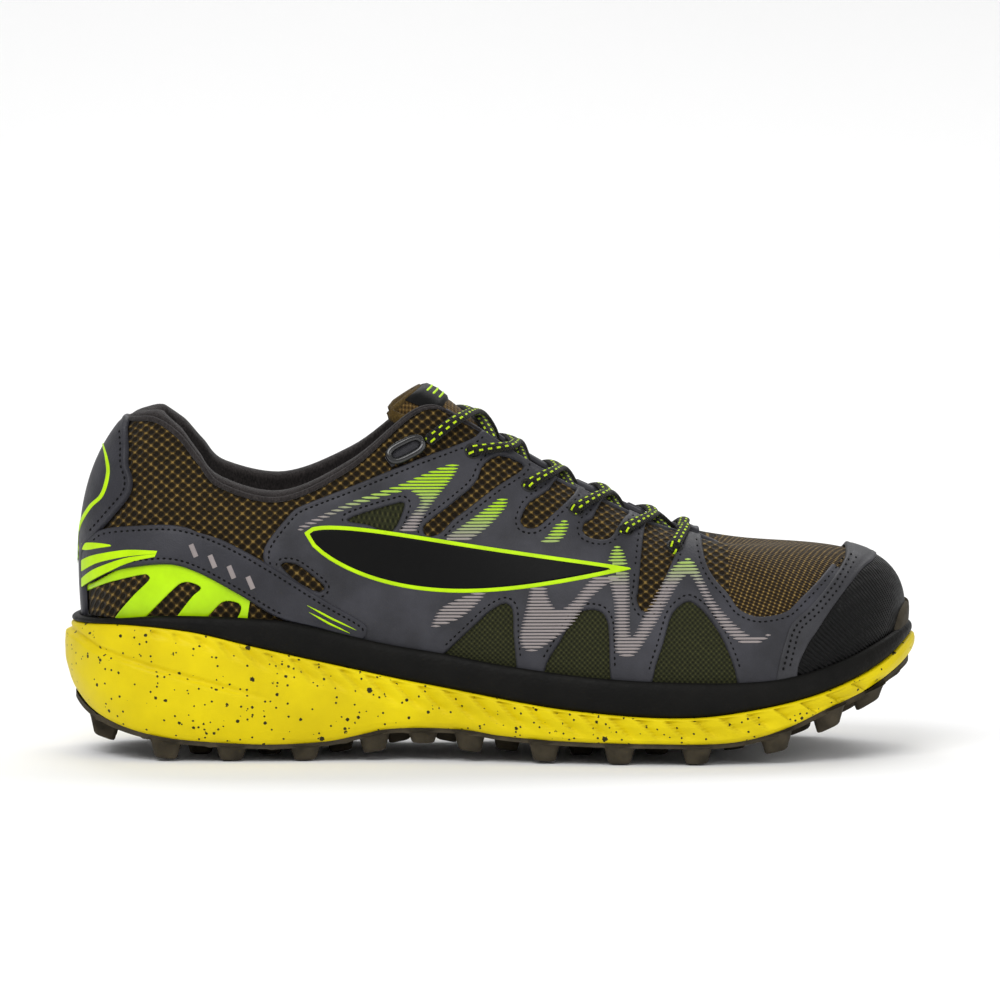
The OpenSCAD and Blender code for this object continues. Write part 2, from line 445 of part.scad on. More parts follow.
outsole();
midsole_carrier();
midsole_rim();
strobel_board();
sockliner();
vamp_mesh();
lateral_quarter_mesh();
medial_quarter_mesh();
forefoot_lining();
heel_lining();
collar_lining();
collar_foam();
color("#5a5555") collar_binding();
heel_counter();
toe_puff();
lateral_eyestay_backer();
medial_eyestay_backer();
lateral_window_mesh();
medial_window_mesh();
lateral_cage();
medial_cage();
heel_tab();
lateral_heel_film();
medial_heel_film();
lateral_heel_strap();
medial_heel_strap();
toe_rand();
toe_guard();
toe_bumper();
lateral_emblem();
medial_emblem();
tongue_body();
tongue_tip();
tongue_label();
lace_keeper();
lateral_lace_hook();
medial_lace_hook();
lace();
aglets();
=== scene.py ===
import math
import bpy
import numpy as np
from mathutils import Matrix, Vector


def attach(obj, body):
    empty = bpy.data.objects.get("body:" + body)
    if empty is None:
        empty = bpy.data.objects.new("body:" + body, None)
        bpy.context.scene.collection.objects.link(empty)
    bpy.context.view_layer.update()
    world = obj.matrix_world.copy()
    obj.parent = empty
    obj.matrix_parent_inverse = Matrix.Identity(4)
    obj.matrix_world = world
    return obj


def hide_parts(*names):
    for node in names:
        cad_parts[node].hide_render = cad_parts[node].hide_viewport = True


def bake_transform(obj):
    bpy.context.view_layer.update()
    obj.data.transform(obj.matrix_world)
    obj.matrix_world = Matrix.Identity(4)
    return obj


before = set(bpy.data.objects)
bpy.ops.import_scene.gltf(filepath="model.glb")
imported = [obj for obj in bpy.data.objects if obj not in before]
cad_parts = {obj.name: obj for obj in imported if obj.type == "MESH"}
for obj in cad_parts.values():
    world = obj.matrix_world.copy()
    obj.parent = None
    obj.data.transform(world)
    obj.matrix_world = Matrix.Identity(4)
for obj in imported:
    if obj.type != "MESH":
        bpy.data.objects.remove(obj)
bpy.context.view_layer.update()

SIN, COS = math.sin(math.radians(5)), math.cos(math.radians(5))  # camera elevation
MIDDLE_Y = 35

# ---------------------------------------------------------------- tables, in mm, as in the CAD source
# Pairs are (x, value): half width, plan bend and heights of the sole's layers. NET rows are toe to heel points of the
# top edge (x, half width, height), the tangent's angle, and how far the lower and upper handles reach out and up.
MID_HALF = [(-112, 41), (-80, 40.5), (-50, 37.5), (-20, 37), (10, 42), (40, 49), (70, 53.5), (95, 53)]
BEND = [(-150, 0), (-110, -1), (-80, -1.5), (-50, -3), (-20, -5), (10, -6), (40, -4), (70, -1), (95, 2),
        (115, 4.5), (130, 5.5), (150, 6)]
RIDGE = [(-150, 0), (-60, 0), (0, 2), (80, 3), (150, 6)]
FEATHER = [(-150, 48.5), (-134, 49.6), (-115, 51.2), (-76, 49.6), (-57, 45.7), (-37, 41.1), (-17, 37.9),
           (3, 34.4), (32, 30.8), (58, 29.2), (97, 29.2), (123, 34.7), (150, 45.5)]
SIDE_TOP = [(-150, 46.3), (-130, 47.6), (-107, 45.7), (-84, 40.4), (-61, 35.1), (-33, 29), (-20, 26.6),
            (15, 20.5), (32, 18.4), (58, 16.6), (80, 17.4), (110, 22.7), (127, 28), (140, 34), (150, 41.5)]
BASE = [(-150, 23), (-143, 17), (-134, 12.8), (-122, 9.6), (-107, 7.4), (-84, 6), (-72, 6), (-57, 7),
        (-45, 9.5), (-37, 11.2), (-20, 11.7), (-7, 11), (2, 9.6), (23, 8.1), (58, 7.4), (84, 7.8),
        (101, 11.7), (118, 18.6), (131, 23.5), (144, 30.5), (150, 35)]
LUG_BOTTOM = [(-150, 10), (-143, 8), (-130, 3.5), (-114, .6), (-91, 0), (-65, 0), (-41, 3), (-24, 6),
              (-8, 3.5), (18, .6), (44, 0), (71, 0), (99, 3.8), (118, 11.2), (133, 19), (142, 25), (150, 30)]
FLOOR = [(-150, 41), (-110, 40), (-60, 36), (-20, 28.5), (20, 24), (60, 22), (100, 22.5), (125, 27.5), (150, 37)]
NET = [(80, 0, 71.8, 0, 6, 26, 60, -5.5), (79.7, 2.5, 72, 5, 6, 26, 58, -5.5),
       (79, 4.8, 72.4, 12, 6, 25.5, 54, -5), (77.5, 7, 73, 20, 6, 25, 47, -4), (75, 9, 74, 30, 6, 24, 39.5, -2.5),
       (71, 11, 75.8, 42, 6, 22, 33, 0),
       (65, 12.6, 78.2, 54, 6, 20, 26, 4), (56.5, 14, 81, 65, 6, 20, 22, 7), (42, 15.3, 88, 77, 5, 20, 18, 10),
       (25, 16.2, 96, 84, 5, 22, 15, 12), (8, 16.8, 106, 88, 4.5, 24, 13, 15), (-9, 18, 117.5, 90, 4, 27, 11, 20),
       (-25, 20.5, 122.5, 92, 3.5, 28, 9, 26), (-50, 26.8, 102.5, 93, 3, 26, 7, 18),
       (-74, 29, 91.5, 93, 3, 24, 6, 14), (-95, 26.5, 96, 100, 3, 24, 7, 16), (-103, 23, 104.5, 110, 3, 24, 9, 18),
       (-110, 18.8, 113, 124, 3, 24, 12, 19), (-118, 15, 118.3, 142, 3, 24, 14, 19),
       (-125, 8.6, 118.2, 161, 2.6, 24, 16, 19), (-128, 0, 117.5, 180, 2.2, 24, 17, 18.5)]
TONGUE = [(90, 65, 9, 2.4), (80, 68.5, 12, 2.6), (66, 75.5, 14, 2.8), (48, 83.4, 15.5, 3), (30, 92.2, 16, 3.4),
          (12, 102.6, 16.5, 4), (-1, 112, 17, 5.5), (-9, 119.2, 17, 7.5), (-12.6, 122.1, 17, 8),
          (-14.6, 123.7, 17, 8), (-20, 127.8, 16.5, 7.5), (-26, 130.6, 15, 6)]
TONGUE_BOW = 25
EYELETS = [(.59, .86), (.545, .86), (.49, .84), (.445, .82), (.4, .8), (.355, .78)]
OVER_EDGE = [.56, .51, .465, .415, .36, .29]
UNDER_EDGE = [.6, .52, .487, .437, .386, .305]
CROWN = [-4.5, 9, 25, 42, 58, 67]
EDGE_LUGS = [-114.6, -91.6, -65.7, -41.3, -24.3, -8, 18.2, 44.4, 71.4, 99.3, 117.8, 132]


def curve(x, table):
    t = np.array(table, float)
    xs, ys = t[:, 0], t[:, 1]
    x = np.clip(x, xs[0], xs[-1])
    m = np.empty(len(xs))
    m[1:-1] = (ys[2:] - ys[:-2]) / (xs[2:] - xs[:-2])
    m[0] = (ys[1] - ys[0]) / (xs[1] - xs[0])
    m[-1] = (ys[-1] - ys[-2]) / (xs[-1] - xs[-2])
    i = np.clip(np.searchsorted(xs, x, "right") - 1, 0, len(xs) - 2)
    w = xs[i + 1] - xs[i]
    f = (x - xs[i]) / w
    return (ys[i] * (2 * f**3 - 3 * f**2 + 1) + m[i] * w * (f**3 - 2 * f**2 + f)
            + ys[i + 1] * (3 * f**2 - 2 * f**3) + m[i + 1] * w * (f**3 - f**2))


def outline(s, d):
    s = np.asarray(s, float)
    b = np.radians(90 * (1 - s / .35))
    a = np.radians(90 * (s - .75) / .25)
    xm = 95 - (s - .35) / .4 * 207
    x = np.where(s < .35, 95 + (55 - d) * np.sin(b), np.where(s < .75, xm, -112 - (38 - d) * np.sin(a)))
    h = np.where(s < .35, (53 - d) * np.clip(np.cos(b), 0, 1) ** 1.12,
                 np.where(s < .75, curve(xm, MID_HALF) - d, (41 - d) * np.clip(np.cos(a), 0, 1)))
    return x, h


def shelf(x):
    return np.maximum(curve(x, SIDE_TOP) + 1.2, curve(x, FLOOR) - 1.7)


def control_points():
    n = np.array(NET, float)
    x, h = outline(np.arange(len(n)) / (len(n) - 1), 6.8)
    q = np.radians(n[:, 3])
    f = np.stack([x, h, shelf(x) + .6], 1)
    p1 = f + np.stack([np.cos(q) * n[:, 4], np.sin(q) * n[:, 4], n[:, 5]], 1)
    top = n[:, :3]
    p2 = top + np.stack([np.cos(q) * n[:, 6], np.sin(q) * n[:, 6], -n[:, 7]], 1)
    c = np.stack([f, p1, p2, top], 1)
    flip = np.array([1, -1, 1.0])
    return np.concatenate([c[1:2] * flip, c, c[-2:-1] * flip])


NETTED = control_points()


def skin(u, v):
    """Lasted surface: u runs 0 at the toe, 1 at the heel along the lateral side and on to 2 along the medial."""
    u, v = np.broadcast_arrays(np.asarray(u, float), np.asarray(v, float))
    m = np.mod(u, 2)
    side = np.where(m <= 1, -1.0, 1.0)
    f = np.clip(np.where(m <= 1, m, 2 - m) * 20, 0, 20 - 1e-9)
    i = f.astype(int)
    t = (f - i)[..., None, None]
    a, b, c, d = NETTED[i], NETTED[i + 1], NETTED[i + 2], NETTED[i + 3]
    r = .5 * (2 * b + (c - a) * t + (2 * a - 5 * b + 4 * c - d) * t**2 + (3 * b - a - 3 * c + d) * t**3)
    w = 1 - v
    p = (r[..., 0, :] * (w**3)[..., None] + r[..., 1, :] * (3 * w * w * v)[..., None]
         + r[..., 2, :] * (3 * w * v * v)[..., None] + r[..., 3, :] * (v**3)[..., None])
    x, h, z = p[..., 0], p[..., 1], p[..., 2]
    lift = np.where(side > 0, 2.5, 0) * v**2 * np.exp(-((x + 78) / 32) ** 2) * np.clip(h / 12, 0, 1)
    return np.stack([x, side * h + curve(x, BEND) * w + curve(x, RIDGE) * v, z + lift], -1)


def skin_normal(u, v):
    a = skin(u + .003, v) - skin(u - .003, v)
    b = skin(u, np.clip(v + .006, 0, 1)) - skin(u, np.clip(v - .006, 0, 1))
    n = np.cross(b, a)
    return n / np.maximum(np.linalg.norm(n, axis=-1, keepdims=True), 1e-9)


RIM_V = .985  # just under the top edge, where the normal is steady


def view_xz(p, u):
    """Where a point is in side view, in mm, as seen level with the camera; both sides look alike."""
    side = np.where(np.mod(u, 2) <= 1, -1.0, 1.0)
    return p[..., 0], p[..., 2] * COS + (MIDDLE_Y - side * p[..., 1]) * SIN


GU, GV = np.meshgrid(np.linspace(.004, .996, 260), np.linspace(0, 1, 60), indexing="ij")
SIDE_GRID = {}
for sign in (-1, 1):
    gu = GU.ravel() if sign < 0 else 2 - GU.ravel()
    gp = skin(gu, GV.ravel())
    SIDE_GRID[sign] = (gu, GV.ravel(), np.stack(view_xz(gp, gu), 1))


def place(x, z, side):
    """(u, v) of the surface point seen at (x, z) in side view on side -1 or 1."""
    gu, gv, gxz = SIDE_GRID[side]
    q = np.stack([np.asarray(x, float), np.asarray(z, float)], 1)
    best = np.concatenate([np.argmin(((gxz[None] - c[:, None]) ** 2).sum(-1), 1)
                           for c in np.array_split(q, max(1, len(q) // 300))])
    u, v = gu[best].copy(), gv[best].copy()
    lo, hi = (0, 1) if side < 0 else (1, 2)
    for _ in range(6):
        f = np.stack(view_xz(skin(u, v), u), 1) - q
        ju = (np.stack(view_xz(skin(u + .001, v), u), 1) - f - q) / .001
        jv = (np.stack(view_xz(skin(u, v + .001), u), 1) - f - q) / .001
        det = ju[:, 0] * jv[:, 1] - ju[:, 1] * jv[:, 0]
        det = np.where(np.abs(det) < 200, np.sign(det + 1e-9) * 200, det)
        du = (f[:, 0] * jv[:, 1] - f[:, 1] * jv[:, 0]) / det
        dv = (ju[:, 0] * f[:, 1] - ju[:, 1] * f[:, 0]) / det
        u = np.clip(u - np.clip(du, -.01, .01), lo + .0005, hi - .0005)
        v = np.clip(v - np.clip(dv, -.03, .03), 0, 1)
    return u, v


# ---------------------------------------------------------------- outlines in side view
def loop(points, steps=6, tension=.5):
    """Smooth closed curve through the points."""
    p = np.array(points, float)
    a, b, c, d = np.roll(p, 1, 0), p, np.roll(p, -1, 0), np.roll(p, -2, 0)
    out = []
    for t in np.arange(steps) / steps:
        m0, m1 = tension * (c - a), tension * (d - b)
        scale = np.linalg.norm(c - b, axis=1, keepdims=True)
        m0 = m0 * np.minimum(1, scale / np.maximum(np.linalg.norm(m0, axis=1, keepdims=True), 1e-6))
        m1 = m1 * np.minimum(1, scale / np.maximum(np.linalg.norm(m1, axis=1, keepdims=True), 1e-6))
        out.append(b * (2 * t**3 - 3 * t**2 + 1) + m0 * (t**3 - 2 * t**2 + t)
                   + c * (3 * t**2 - 2 * t**3) + m1 * (t**3 - t**2))
    return np.stack(out, 1).reshape(-1, 2)


def open_curve(points, steps=8):
    p = np.array(points, float)
    p = np.concatenate([2 * p[:1] - p[1:2], p, 2 * p[-1:] - p[-2:-1]])
    out = []
    for i in range(len(p) - 3):
        a, b, c, d = p[i:i + 4]
        for t in np.arange(steps) / steps:
            out.append(.5 * (2 * b + (c - a) * t + (2 * a - 5 * b + 4 * c - d) * t**2 + (3 * b - a - 3 * c + d) * t**3))
    return np.array(out + [p[-2]])


def inside(poly, x, z):
    """Signed distance to a closed outline, positive inside."""
    best = np.full(x.shape, 1e9)
    odd = np.zeros(x.shape, bool)
    for (ax, az), (bx, bz) in zip(poly, np.roll(poly, -1, 0)):
        dx, dz = bx - ax, bz - az
        t = np.clip(((x - ax) * dx + (z - az) * dz) / max(dx * dx + dz * dz, 1e-9), 0, 1)
        best = np.minimum(best, (x - ax - t * dx) ** 2 + (z - az - t * dz) ** 2)
        if az != bz:
            odd ^= ((az > z) != (bz > z)) & (x < ax + (z - az) / (bz - az) * dx)
    return np.sqrt(best) * np.where(odd, 1, -1)


CAGE = loop([(-71.5, 85.5), (-68, 88.5), (-48, 96.5), (-27.5, 105), (-14, 110), (-6, 113.5), (2, 122), (60, 122),
             (80.5, 112), (80.5, 93), (74, 82), (73.5, 77), (75, 68.5), (78, 63), (82.5, 58), (86, 53), (91, 50.5),
             (96, 50.3), (102.8, 52), (107.8, 56.5), (115.2, 63.7), (123.5, 73.5), (125.5, 80), (131, 76), (123, 58),
             (113, 42), (106, 15), (-57.5, 15), (-52, 43.5), (-68, 57.5),
             (-78, 65), (-80, 74)])
TRIANGLE = loop([(-50.5, 84.5), (-31.5, 90.5), (-31, 88.5), (-35.5, 80), (-43.5, 82.5)])
PATCH = loop([(-55, 84.5), (-42, 90.5), (-28, 93), (-27, 88), (-34, 77.5), (-46, 80)])
SLOTS = [loop(s) for s in (
    [(-23, 78.5), (-24, 82), (-16.5, 88), (-8.5, 94.5), (-5.5, 98), (-3, 103.5), (2.5, 106.5), (10.5, 103.5),
     (9.5, 101), (1, 95.5), (-7.5, 89), (-13.5, 84.5), (-18.5, 79.5)],
    [(10.5, 82), (10, 84.5), (12, 89), (13.5, 90.5), (19.5, 94.5), (22.5, 98), (29, 98), (29, 94), (26, 90.5),
     (21, 86), (16.5, 82), (13.5, 81)],
    [(32.5, 78.5), (31.5, 80.5), (32.5, 83), (35, 84.5), (39, 91), (45, 91), (47.5, 86), (46, 84.5), (43.5, 81),
     (41, 77.5), (36.5, 77)],
    [(50.5, 56.5), (51, 59), (53, 78.5), (56, 86), (65, 82.5), (64.5, 73.5), (60, 63), (56.5, 54), (54.5, 52),
     (52, 52.5)])]
WINDOWS = [loop(s) for s in (
    [(-18.5, 15), (-19.5, 33.5), (-16, 38), (-8, 45.5), (-1, 52), (4.5, 55), (7, 53), (7.5, 43.5), (8.5, 32),
     (8.5, 15)],
    [(18.5, 15), (18.5, 32), (24, 42), (29, 50.5), (32.5, 52.5), (36.5, 52.5), (39, 51), (40.5, 47), (41, 32),
     (41, 15)],
    [(56, 15), (56.5, 30.5), (59.5, 40.5), (62.5, 50.5), (65.5, 54), (68.5, 55.5), (71.5, 54), (75, 50.5),
     (80.5, 42), (85, 29.5), (85, 15)])]
DIAMOND = loop([(-74, 68.5), (-68.5, 68.5), (-59, 61), (-60.5, 59), (-68, 62.5)])
WINDOW_MESH = loop([(-24, 15), (-24, 36), (-12, 48), (2, 59), (9, 56), (13, 40), (22, 48), (29, 56), (41, 56),
                    (47, 40), (57, 54), (68, 60), (79, 54), (90, 36), (90, 15)])
STRAP = loop([(-152, 72), (-144.5, 74), (-137, 80.5), (-125, 82), (-110, 82), (-95.5, 77.5), (-79, 69), (-58, 56),
              (-44, 47.5), (-46, 42), (-60, 46), (-75, 50), (-88.5, 58), (-102.5, 65.5), (-112.5, 68.5), (-126, 67.5),
              (-136, 65), (-144.5, 60), (-152, 58)])
FILM = loop([(-152, 60), (-141, 62), (-133, 66), (-125, 69), (-112.5, 70), (-105.5, 68), (-95.5, 63.5), (-70, 48),
             (-70, 40), (-152, 40)])
FILM_CUTS = [loop(s) for s in ([(-153, 56), (-146, 58), (-135.5, 62), (-121.5, 65.2), (-120, 63.5), (-126, 57.5),
                               (-133, 49), (-136, 40), (-153, 40)],
                               [(-124, 46), (-121, 50.5), (-110, 61.5), (-106.5, 62.5), (-102, 60.5), (-105, 57.5),
                                (-110.5, 50.5), (-114, 46)],
                               [(-104, 46), (-99.5, 50.5), (-94.5, 55.5), (-90, 55.5), (-88, 54), (-89, 50.5),
                                (-93, 46)])]
FLASHES = [loop(s) for s in (
    [(-146, 75), (-142, 76), (-137.5, 76), (-132, 75), (-137.5, 74), (-142, 73.5)],
    [(-146, 67.5), (-142, 70.5), (-137.5, 72), (-126.5, 73.5), (-112.5, 72.5), (-126.5, 71.2), (-137, 69), (-143, 66),
     (-146, 64)],
    [(-146, 60), (-142, 64.5), (-137, 67.5), (-126, 71), (-110, 72.4), (-125, 69.4), (-136, 64.6), (-143, 60.5),
     (-146, 57)])]
FLASH_START = -143
TAB = loop([(-153, 122), (-128, 122), (-128, 116), (-127.5, 109), (-127.5, 103.5), (-126, 98), (-127, 92.5),
            (-133, 85), (-139.5, 77.5), (-142.5, 72), (-143, 43.5), (-153, 43.5)])
TAB_LINE = [(-135.5, 110), (-134, 105), (-133.5, 99.5), (-135.5, 92.5), (-139.5, 88.5), (-143, 83), (-144.5, 78)]
RAND_EDGE = [(99, 30.8), (102.8, 44.7), (105, 48.5), (110.8, 53.5), (118, 61.6), (124.4, 71.2)]
RAND = loop([(98.5, 15), *RAND_EDGE, (126, 84),
             (138, 84), (136.5, 74), (135, 69.7), (130, 66), (124, 59.5), (118, 52), (113, 44.7), (110, 40.4),
             (106.4, 32.3), (105, 15)])
GUARD = loop([(104.5, 15), (105.6, 32.3), (109.2, 40.4), (117.2, 52), (123.2, 59.5), (129.2, 66), (134.2, 69.7),
              (136, 76), (141, 86), (165, 86), (165, 15)])
HATCHES = [
    ([(-12, 103.5), (-13.5, 99.5), (-18.5, 93), (-23, 87), (-28.5, 77), (-32.5, 73.5), (-37.5, 74.5), (-34, 79),
      (-29, 85.5), (-25.5, 90.5), (-28.5, 94), (-32, 94), (-50.5, 88), (-67.5, 80), (-68, 81.5), (-50.5, 90),
      (-32.5, 96.5), (-22, 101), (-15, 103.5)], 84, 98, 1.0),
    ([(5, 91), (4.5, 88), (-2.5, 80.5), (-13.5, 73.5), (-22, 68.5), (-31, 63.5), (-36.5, 65.5), (-37, 68.5),
      (-32.5, 69), (-22, 74.5), (-11.5, 81.5), (-2.5, 88), (2.5, 91.5)], 76, 89, 1.0),
    ([(26.5, 82.5), (25.5, 78.5), (23, 76), (17, 76), (19, 78), (21.5, 81.5), (24, 83)], 72, 80, .9),
    ([(-21.4, 47.1), (-18.6, 52.7), (-11.9, 56.6), (-2.3, 59.5), (-4.1, 55.6), (-10.8, 49.9), (-19.3, 46.7)],
     90, 100, 0),
    ([(14.3, 62.7), (18.9, 62.7), (19.6, 57.7), (22.8, 52.7), (27.4, 54.9), (33.5, 62), (38.1, 65.1), (44.4, 63.7),
      (40.2, 61.2), (33.8, 55.6), (28.5, 47.8), (21.1, 41.8), (15, 38.2), (10.8, 39.3), (9.7, 43.5), (11.9, 53.5)],
     90, 100, 0),
    ([(42, 73.5), (45, 73.5), (47.5, 66.5), (48, 57.5), (48.5, 43.5), (52, 49), (56, 56), (59.5, 62), (63.5, 67.5),
      (68, 69.5), (70.5, 68.5), (74, 62), (77.5, 55.5), (84, 48), (91, 43), (97, 44), (94.5, 41.5), (87.5, 40.5),
      (81, 45), (75.5, 52.5), (71.5, 60), (68.5, 64), (65, 61), (60.5, 53.5), (56, 45.5), (50, 37), (46, 36.5),
      (43, 38), (42.5, 54), (40, 66.5)], 60, 72, .75)]


def blade():
    """Generic black mark: a plain slim spindle, pointed at both ends."""
    t = np.linspace(0, 1, 40)
    a, b = np.array([-66, 79.5]), np.array([49.5, 66.5])
    axis = a + (b - a) * t[:, None] - np.array([0, 1]) * (6 * np.sin(np.pi * t**.8))[:, None]
    half = 9.5 * np.sin(np.pi * t**.62) ** .9
    return np.concatenate([axis + np.stack([0 * t, half], 1), (axis - np.stack([0 * t, half], 1))[-2:0:-1]])


EMBLEM = blade()


# ---------------------------------------------------------------- materials
def lin(h):
    c = [int(h[i:i + 2], 16) / 255 for i in (1, 3, 5)]
    return tuple(x / 12.92 if x <= .04045 else ((x + .055) / 1.055) ** 2.4 for x in c) + (1.0,)


class Mat:
    """A node material round one Principled shader, with short names for the nodes used here."""

    def __init__(self, name, rough=.6, spec=.4, sheen=0, coat=0):
        self.m = bpy.data.materials.new(name)
        self.m.use_nodes = True
        self.t = self.m.node_tree
        self.b = self.t.nodes["Principled BSDF"]
        self.b.inputs["Roughness"].default_value = rough
        self.b.inputs["Specular IOR Level"].default_value = spec
        self.b.inputs["Sheen Weight"].default_value = sheen
        self.b.inputs["Sheen Roughness"].default_value = .5
        self.b.inputs["Coat Weight"].default_value = coat
        self.coord = self.node("TexCoord")

    def node(self, kind, **kw):
        n = self.t.nodes.new("ShaderNode" + kind)
        for k, v in kw.items():
            setattr(n, k, v)
        return n

    def put(self, a, b):
        self.t.links.new(a, b)

    def uv(self, scale=(1, 1, 1), turn=0):
        u = self.node("UVMap", uv_map="mm")
        m = self.node("Mapping")
        m.inputs["Scale"].default_value = scale
        m.inputs["Rotation"].default_value = (0, 0, turn)
        self.put(u.outputs["UV"], m.inputs["Vector"])
        return m.outputs["Vector"]

    def solid(self, scale=(1, 1, 1)):
        m = self.node("Mapping")
        m.inputs["Scale"].default_value = scale
        self.put(self.coord.outputs["Object"], m.inputs["Vector"])
        return m.outputs["Vector"]

    def noise(self, vec, scale, detail=3, rough=.55):
        n = self.node("TexNoise")
        n.inputs["Scale"].default_value = scale
        n.inputs["Detail"].default_value = detail
        n.inputs["Roughness"].default_value = rough
        self.put(vec, n.inputs["Vector"])
        return n.outputs["Fac"]

    def cells(self, vec, scale, random=1, feature="F1", dims="3D"):
        n = self.node("TexVoronoi", feature=feature, voronoi_dimensions=dims)
        n.inputs["Scale"].default_value = scale
        n.inputs["Randomness"].default_value = random
        self.put(vec, n.inputs["Vector"])
        return n

    def ramp(self, fac, stops):
        r = self.node("ValToRGB")
        e = r.color_ramp.elements
        while len(e) < len(stops):
            e.new(.5)
        for el, (p, c) in zip(e, stops):
            el.position = p
            el.color = lin(c) if isinstance(c, str) else (c, c, c, 1)
        self.put(fac, r.inputs["Fac"])
        return r.outputs["Color"]

    def math(self, op, a, b=0.0, c=0.0):
        n = self.node("Math", operation=op)
        for i, x in enumerate((a, b, c)):
            if isinstance(x, (int, float)):
                n.inputs[i].default_value = x
            else:
                self.put(x, n.inputs[i])
        return n.outputs[0]

    def mix(self, fac, a, b):
        n = self.node("Mix", data_type="RGBA")
        self.put(fac, n.inputs[0])
        for i, x in ((6, a), (7, b)):
            if isinstance(x, str):
                n.inputs[i].default_value = lin(x)
            else:
                self.put(x, n.inputs[i])
        return n.outputs[2]

    def color(self, socket):
        self.put(socket, self.b.inputs["Base Color"])

    def rough(self, fac, lo, hi):
        n = self.node("MapRange")
        n.inputs["To Min"].default_value = lo
        n.inputs["To Max"].default_value = hi
        self.put(fac, n.inputs["Value"])
        self.put(n.outputs["Result"], self.b.inputs["Roughness"])

    def bump(self, height, distance, strength=1.0):
        n = self.node("Bump")
        n.inputs["Distance"].default_value = distance
        n.inputs["Strength"].default_value = strength
        self.put(height, n.inputs["Height"])
        last = self.b.inputs["Normal"]
        if last.is_linked:
            self.put(last.links[0].from_socket, n.inputs["Normal"])
        self.put(n.outputs["Normal"], last)


def leather(name, dark, light, rough=.5):
    """Smooth synthetic overlay with a fine pebble grain."""
    m = Mat(name, rough, .22)
    o = m.solid()
    m.color(m.ramp(m.noise(o, 60, 4), [(.35, dark), (.7, light)]))
    grain = m.cells(o, 1500).outputs["Distance"]
    m.rough(m.noise(o, 300, 2), rough - .08, rough + .12)
    m.bump(grain, .00012, .5)
    m.bump(m.noise(o, 90, 3), .0004, .35)
    return m.m


def open_mesh(name, pitch, hole_shade, thread, knot_and_highlight, turn, stretch=1.0, depth=.0006, size=.2):
    """Open knitted mesh: a regular lattice of holes with lighter knots where the threads meet. The holes are painted
    near black as painted shade inside the openings; the knots' lighter colour is tan yarn tone plus a painted highlight
    on the raised knots.
    """
    m = Mat(name, .8, .12, sheen=.06)
    sc = m.node("Mapping")
    sc.inputs["Scale"].default_value = (1, stretch, 1)
    m.put(m.uv((1, 1, 1), turn), sc.inputs["Vector"])
    d = m.cells(sc.outputs["Vector"], 1 / pitch, .12, dims="2D").outputs["Distance"]
    fine = m.noise(m.uv(), 2600, 2)
    big = m.noise(m.solid(), 120, 3)
    # hole colour is painted shade in the openings; knot colour is yarn tone plus a painted highlight
    body = m.ramp(d, [(size, hole_shade), (size + .1, thread), (.5, thread), (.64, knot_and_highlight)])
    body = m.mix(m.math("MULTIPLY", fine, .35), body, thread)
    m.color(m.mix(m.math("MULTIPLY", big, .3), body, hole_shade))
    h = m.ramp(d, [(size - .02, 0.0), (size + .12, .7), (.7, 1.0)])
    m.bump(h, depth, .9)
    m.bump(fine, .0002, .6)
    return m.m


def knit(name, dark, light, scale=1.0, sheen=.12):
    """Soft brushed knit lining with short fibres."""
    m = Mat(name, .92, .08, sheen=sheen)
    o = m.solid((1, 1, 1))
    f = m.noise(m.solid((1, 1, .35)), 1900 * scale, 3, .7)
    m.color(m.mix(m.noise(o, 170 * scale, 4), m.ramp(f, [(.35, dark), (.7, light)]), dark))
    m.bump(f, .0005, .7)
    m.bump(m.noise(o, 420 * scale, 3), .0006, .5)
    return m.m


def weave(name, dark, light, pitch=.0009):
    """Tight plain weave."""
    m = Mat(name, .88, .1, sheen=.06)
    u = m.uv((1 / pitch,) * 3)
    sep = m.node("SeparateXYZ")
    m.put(u, sep.inputs[0])
    a = m.math("SINE", m.math("MULTIPLY", sep.outputs[0], math.pi * 2))
    b = m.math("SINE", m.math("MULTIPLY", sep.outputs[1], math.pi * 2))
    w = m.math("MULTIPLY_ADD", m.math("MULTIPLY", a, b), .5, .5)
    m.color(m.mix(m.noise(m.solid(), 500, 3), m.ramp(w, [(.25, dark), (.8, light)]), dark))
    m.bump(w, .0003, .6)
    return m.m


def plastic(name, color, rough=.35, coat=0.0, grain=800, spec=.5):
    m = Mat(name, rough, spec, coat=coat)
    o = m.solid()
    n = m.noise(o, grain, 3)
    dark = "#%02x%02x%02x" % tuple(int(int(color[i:i + 2], 16) * .9) for i in (1, 3, 5))
    m.color(m.ramp(m.noise(o, 90, 3), [(.3, dark), (.7, color)]))
    m.bump(n, .00008, .5)
    m.rough(n, rough - .05, rough + .08)
    return m.m


def midsole_foam():
    m = Mat("midsole_yellow", .5, .18)
    o = m.solid()
    body = m.ramp(m.noise(o, 45, 4), [(.3, "#cfb900"), (.7, "#e2cd00")])
    marks = None
    for scale, size, share in ((240, .15, .55), (480, .2, .6), (120, .12, .6)):
        c = m.cells(o, scale)
        wobble = m.math("MULTIPLY_ADD", m.noise(o, 2200, 3), .16, -.08)
        near = m.math("LESS_THAN", m.math("ADD", c.outputs["Distance"], wobble), size)
        sep = m.node("SeparateColor")
        m.put(c.outputs["Color"], sep.inputs[0])
        spot = m.math("MULTIPLY", near, m.math("GREATER_THAN", sep.outputs[0], share))
        marks = spot if marks is None else m.math("MAXIMUM", marks, spot)
    m.color(m.mix(marks, body, "#2a2712"))
    m.bump(m.noise(o, 1400, 3), .00012, .5)
    m.bump(m.noise(o, 220, 3), .0003, .3)
    return m.m


def rubber(name, dark, light):
    m = Mat(name, .75, .15)
    o = m.solid()
    m.color(m.ramp(m.noise(o, 130, 5), [(.3, dark), (.72, light)]))
    m.bump(m.noise(o, 1700, 3), .00015, .6)
    m.bump(m.noise(o, 180, 4), .0004, .35)
    return m.m


